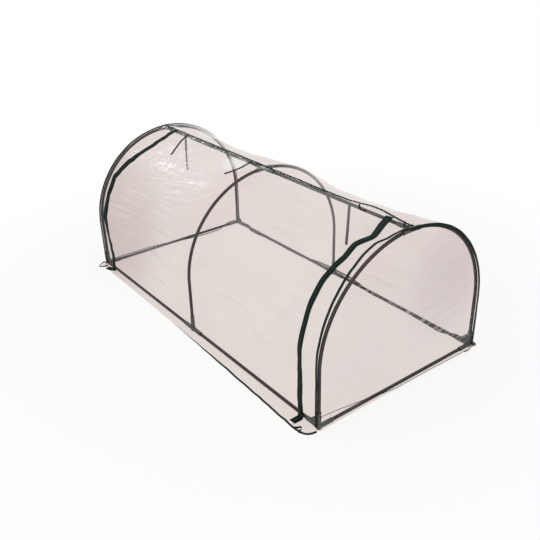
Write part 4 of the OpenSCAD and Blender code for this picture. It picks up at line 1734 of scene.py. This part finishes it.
@dataclass
class LooseEnds:
    """Ends of the bindings that curl free where the hems meet at the corners."""

    finishes: Finishes
    width: float = 0.0085
    thick: float = 0.0016
    stations: int = 28

    def curl(self, points: Sequence[Tuple[float, float, float]], across: Tuple[float, float, float]
             ) -> bmesh.types.BMesh:
        """A short curl of tape through points."""
        path = spline([Vector(p) for p in points], self.stations)
        return ribbon(path, lambda i: Vector(across), self.width, self.thick, 8)

    def build(self) -> bpy.types.Object:
        """Builds the curls as one piece.

        Returns:
            The curls.
        """
        side = TUNNEL.arc_r + TUNNEL.film_off
        end = TUNNEL.edge_x
        flap = [(-end + 0.02, -side - 0.010, 0.012), (-end - 0.020, -side - 0.006, 0.006),
                (-end + 0.008, -side - 0.052, 0.003), (-end + 0.030, -side - 0.030, 0.003),
                (-end + 0.045, -side - 0.012, 0.010)]
        front = [(0.930, -side - 0.068, 0.003), (0.946, -side - 0.058, 0.008),
                 (0.958, -side - 0.050, 0.014), (0.968, -side - 0.058, 0.010),
                 (0.962, -side - 0.070, 0.004), (0.975, -side - 0.066, 0.003)]
        back = [(end + 0.012, 0.430, 0.003), (end + 0.016, 0.462, 0.006), (end + 0.006, 0.490, 0.012),
                (end + 0.014, 0.512, 0.008), (end - 0.004, 0.528, 0.004), (end - 0.030, 0.532, 0.003)]
        knot = [(0.940, 0.016, 0.789), (0.958, 0.004, 0.796), (0.972, -0.012, 0.795),
                (0.984, -0.024, 0.791), (0.996, -0.014, 0.797), (1.006, 0.004, 0.796)]
        whole = joined([self.curl(flap, (0.0, 0.3, 1.0)), self.curl(front, (0.0, 0.4, 1.0)),
                        self.curl(back, (0.3, 0.0, 1.0)), self.curl(knot, (0.5, 1.0, 0.0))])
        return finish_mesh("loose_binding_ends", whole, self.finishes.binding, "tape")


@dataclass
class Tie:
    """A flat tie tape sewn into the ridge seam, with one free tail on the film or inside."""

    name: str
    finishes: Finishes
    on_film: Sequence[Tuple[float, float]] = ()
    hang_at: float = 0.0
    drops: Sequence[Tuple[float, float]] = ()
    width: float = 0.014
    thick: float = 0.0012
    turn: float = 0.0
    gap: float = 0.0006
    hang_s: float = 0.014
    stations: int = 33

    def route(self) -> List[Vector]:
        """The places that the tail passes through, from its seam to its free end.

        Returns:
            The places.
        """
        rest = TUNNEL.film_half + self.thick / 2 + self.gap
        if self.on_film:
            return [TUNNEL.at(x, -s, rest) for x, s in self.on_film]
        top = TUNNEL.at(self.hang_at, -self.hang_s, -rest)
        return [top + Vector((drift, 0.0, -drop)) for drift, drop in self.drops]

    def build(self) -> bpy.types.Object:
        """Returns:
            The tail.
        """
        path = spline(self.route(), self.stations)
        wide = Vector((math.cos(self.turn), math.sin(self.turn), 0.0))
        shape = ribbon(path, lambda i: wide, self.width, self.thick, 8)
        piece = finish_mesh(f"{self.name}_tail", shape, self.finishes.tie, "tape", self.name)
        return piece


def build_ties(finishes: Finishes) -> None:
    """Builds the five tie tails: three lie on the film and two hang inside beside the ridge pole.

    Args:
        finishes: the tunnel's finishes.
    """
    Tie("tie_left_outer", finishes, on_film=[
        (-0.730, 0.008), (-0.716, 0.033), (-0.700, 0.062), (-0.684, 0.089),
        (-0.668, 0.118), (-0.655, 0.147), (-0.646, 0.170), (-0.640, 0.188)]).build()
    Tie("tie_mid_outer", finishes, on_film=[
        (-0.096, 0.008), (-0.088, 0.031), (-0.082, 0.058), (-0.080, 0.083),
        (-0.084, 0.107), (-0.094, 0.130), (-0.107, 0.148), (-0.122, 0.166)]).build()
    Tie("tie_right_outer", finishes, width=0.008, on_film=[
        (0.706, 0.008), (0.716, 0.020), (0.730, 0.031),
        (0.746, 0.038), (0.762, 0.040), (0.777, 0.037)]).build()
    Tie("tie_left_inner", finishes, turn=0.35, hang_at=-0.746, drops=[
        (0.0, 0.0), (-0.002, 0.021), (-0.005, 0.051), (-0.008, 0.087),
        (-0.010, 0.120), (-0.011, 0.156), (-0.010, 0.192), (-0.009, 0.211)]).build()
    Tie("tie_right_inner", finishes, turn=0.35, hang_at=0.648, drops=[
        (0.0, 0.0), (-0.001, 0.020), (-0.003, 0.051), (-0.005, 0.084),
        (-0.007, 0.120), (-0.009, 0.154), (-0.012, 0.186), (-0.014, 0.211)]).build()


class Skeleton:
    """The steel and plastic of the frame, which keep their CAD shapes and get their finishes here."""

    def __init__(self, finishes: Finishes) -> None:
        """Keeps the finishes."""
        self.by_slot = {"tube": finishes.coat, "connector": finishes.mould}

    def dress(self) -> None:
        """Gives every tube and connector its finish."""
        for part in frame["record"]["subparts"]:
            material = self.by_slot.get(part["material_slot"])
            if material is None:
                continue
            data = frame["nodes"][part["node"]].data
            data.materials.clear()
            data.materials.append(material)
            LOG.info("%s dressed", part["node"])


@dataclass
class Studio:
    """Camera, floor and light."""

    azimuth: float = 53.31
    elevation: float = 27.56
    roll: float = -1.57
    distance: float = 3.561
    target: Tuple[float, float, float] = (0.187, -0.120, 0.3057)
    focal_px: float = 692.9
    image_px: float = 540.0
    sensor_mm: float = 36.0
    aim: Tuple[float, float, float] = (0.0, 0.0, 0.3)
    floor_z: float = -0.0006
    floor_size: float = 30.0
    sky_level: float = 0.62

    def camera(self) -> None:
        """Places the camera where the photograph was taken."""
        a, e, r = (math.radians(v) for v in (self.azimuth, self.elevation, self.roll))
        back = Vector((math.sin(a) * math.cos(e), -math.cos(a) * math.cos(e), math.sin(e)))
        level = Vector((math.cos(a), math.sin(a), 0.0))
        above = back.cross(level)
        right = level * math.cos(r) + above * math.sin(r)
        up = above * math.cos(r) - level * math.sin(r)
        data = bpy.data.cameras.new("camera")
        data.sensor_width = self.sensor_mm
        data.lens = self.focal_px / self.image_px * data.sensor_width
        data.clip_end = 50.0
        eye = bpy.data.objects.new("camera", data)
        turn = Matrix((right, up, back)).transposed().to_4x4()
        eye.matrix_world = Matrix.Translation(Vector(self.target) + back * self.distance) @ turn
        bpy.context.scene.collection.objects.link(eye)
        bpy.context.scene.camera = eye

    def seen_white(self, nodes: Nodes) -> bpy.types.NodeSocket:
        """1 for what the camera sees directly, in gloss or through glass.

        Args:
            nodes: where to place the nodes.

        Returns:
            The share of white.
        """
        path = nodes.add("ShaderNodeLightPath")
        both = nodes.maths("ADD", path.outputs["Is Camera Ray"], path.outputs["Is Glossy Ray"], True)
        return nodes.maths("ADD", both, path.outputs["Is Transmission Ray"], True)

    def floor(self) -> None:
        """A pale floor that keeps a soft shadow."""
        shape = bmesh.new()
        bmesh.ops.create_grid(shape, x_segments=1, y_segments=1, size=self.floor_size)
        bmesh.ops.translate(shape, vec=(0.0, 0.0, self.floor_z), verts=shape.verts)
        mesh = bpy.data.meshes.new("floor")
        shape.to_mesh(mesh)
        shape.free()
        made = bpy.data.materials.new("pale_floor")
        made.use_nodes = True
        nodes = Nodes(made.node_tree)
        made.node_tree.nodes.remove(made.node_tree.nodes["Principled BSDF"])
        matt = nodes.add("ShaderNodeBsdfDiffuse", Color=(0.86, 0.86, 0.86, 1.0))
        glow = nodes.add("ShaderNodeEmission", Color=(1.0, 1.0, 1.0, 1.0), Strength=1.0)
        place = nodes.add("ShaderNodeTexCoord").outputs["Object"]
        away = nodes.add("ShaderNodeVectorMath", {"operation": "LENGTH"}, i0=place).outputs["Value"]
        level = nodes.add("ShaderNodeMapRange", Value=away, From_Min=1.3, From_Max=2.4,
                          To_Min=0.84, To_Max=1.0)
        share = nodes.maths("MULTIPLY", self.seen_white(nodes), level.outputs[0])
        mixed = nodes.add("ShaderNodeMixShader", i0=share, i1=matt.outputs[0], i2=glow.outputs[0])
        nodes.tree.links.new(mixed.outputs[0], made.node_tree.nodes["Material Output"].inputs["Surface"])
        mesh.materials.append(made)
        slab = bpy.data.objects.new("floor", mesh)
        bpy.context.scene.collection.objects.link(slab)

    def world(self) -> None:
        """White surroundings that light the tunnel evenly."""
        made = bpy.data.worlds.new("studio")
        made.use_nodes = True
        nodes = Nodes(made.node_tree)
        sky = made.node_tree.nodes["Background"]
        sky.inputs["Color"].default_value = (1.0, 1.0, 1.0, 1.0)
        level = nodes.add("ShaderNodeMapRange", Value=self.seen_white(nodes), To_Min=self.sky_level,
                          To_Max=1.0)
        nodes.tree.links.new(level.outputs[0], sky.inputs["Strength"])
        bpy.context.scene.world = made

    def lamp(self, name: str, place: Tuple[float, float, float], size: Tuple[float, float], power: float,
             glossy: bool = False) -> None:
        """Adds a soft lamp that faces the middle of the tunnel.

        Args:
            name: the lamp's name.
            place: where it stands.
            size: its width and height.
            power: in watts.
            glossy: whether shiny surfaces mirror it.
        """
        data = bpy.data.lights.new(name, "AREA")
        data.shape = "RECTANGLE"
        data.size, data.size_y = size
        data.energy = power
        lamp = bpy.data.objects.new(name, data)
        lamp.location = place
        lamp.visible_glossy = glossy
        lamp.rotation_euler = (Vector(place) - Vector(self.aim)).to_track_quat("Z", "Y").to_euler()
        bpy.context.scene.collection.objects.link(lamp)

    def light(self) -> None:
        """Sets the lamps and the look of the picture."""
        self.lamp("overhead", (0.4, -0.6, 4.2), (3.0, 2.4), 50.0)
        self.lamp("left_glint", (-3.6, -1.2, 3.0), (0.4, 1.2), 5.0, glossy=True)
        self.lamp("front", (1.6, -4.0, 2.4), (2.2, 1.6), 30.0)
        bpy.context.scene.view_settings.view_transform = "Standard"


def main() -> None:
    """Builds the tunnel's pieces in order."""
    logging.basicConfig(level=logging.INFO, format="%(name)s %(message)s")
    studio = Studio()
    studio.camera()
    finishes = Finishes()
    build_ties(finishes)
    Skeleton(finishes).dress()
    CoverFilm(finishes).build()
    films = [EndFilm(end, finishes) for end in End]
    for film in films:
        film.build()
    zips = [Zip("left_zip", TUNNEL.left_zip, finishes), Zip("right_zip", TUNNEL.right_zip, finishes)]
    for each in zips:
        each.build()
    build_sliders(zips, finishes)
    bindings = Bindings(finishes)
    bindings.ridge()
    bindings.ends()
    bindings.hems(films)
    LooseEnds(finishes).build()
    studio.floor()
    studio.world()
    studio.light()


if __name__ == "__main__":
    main()
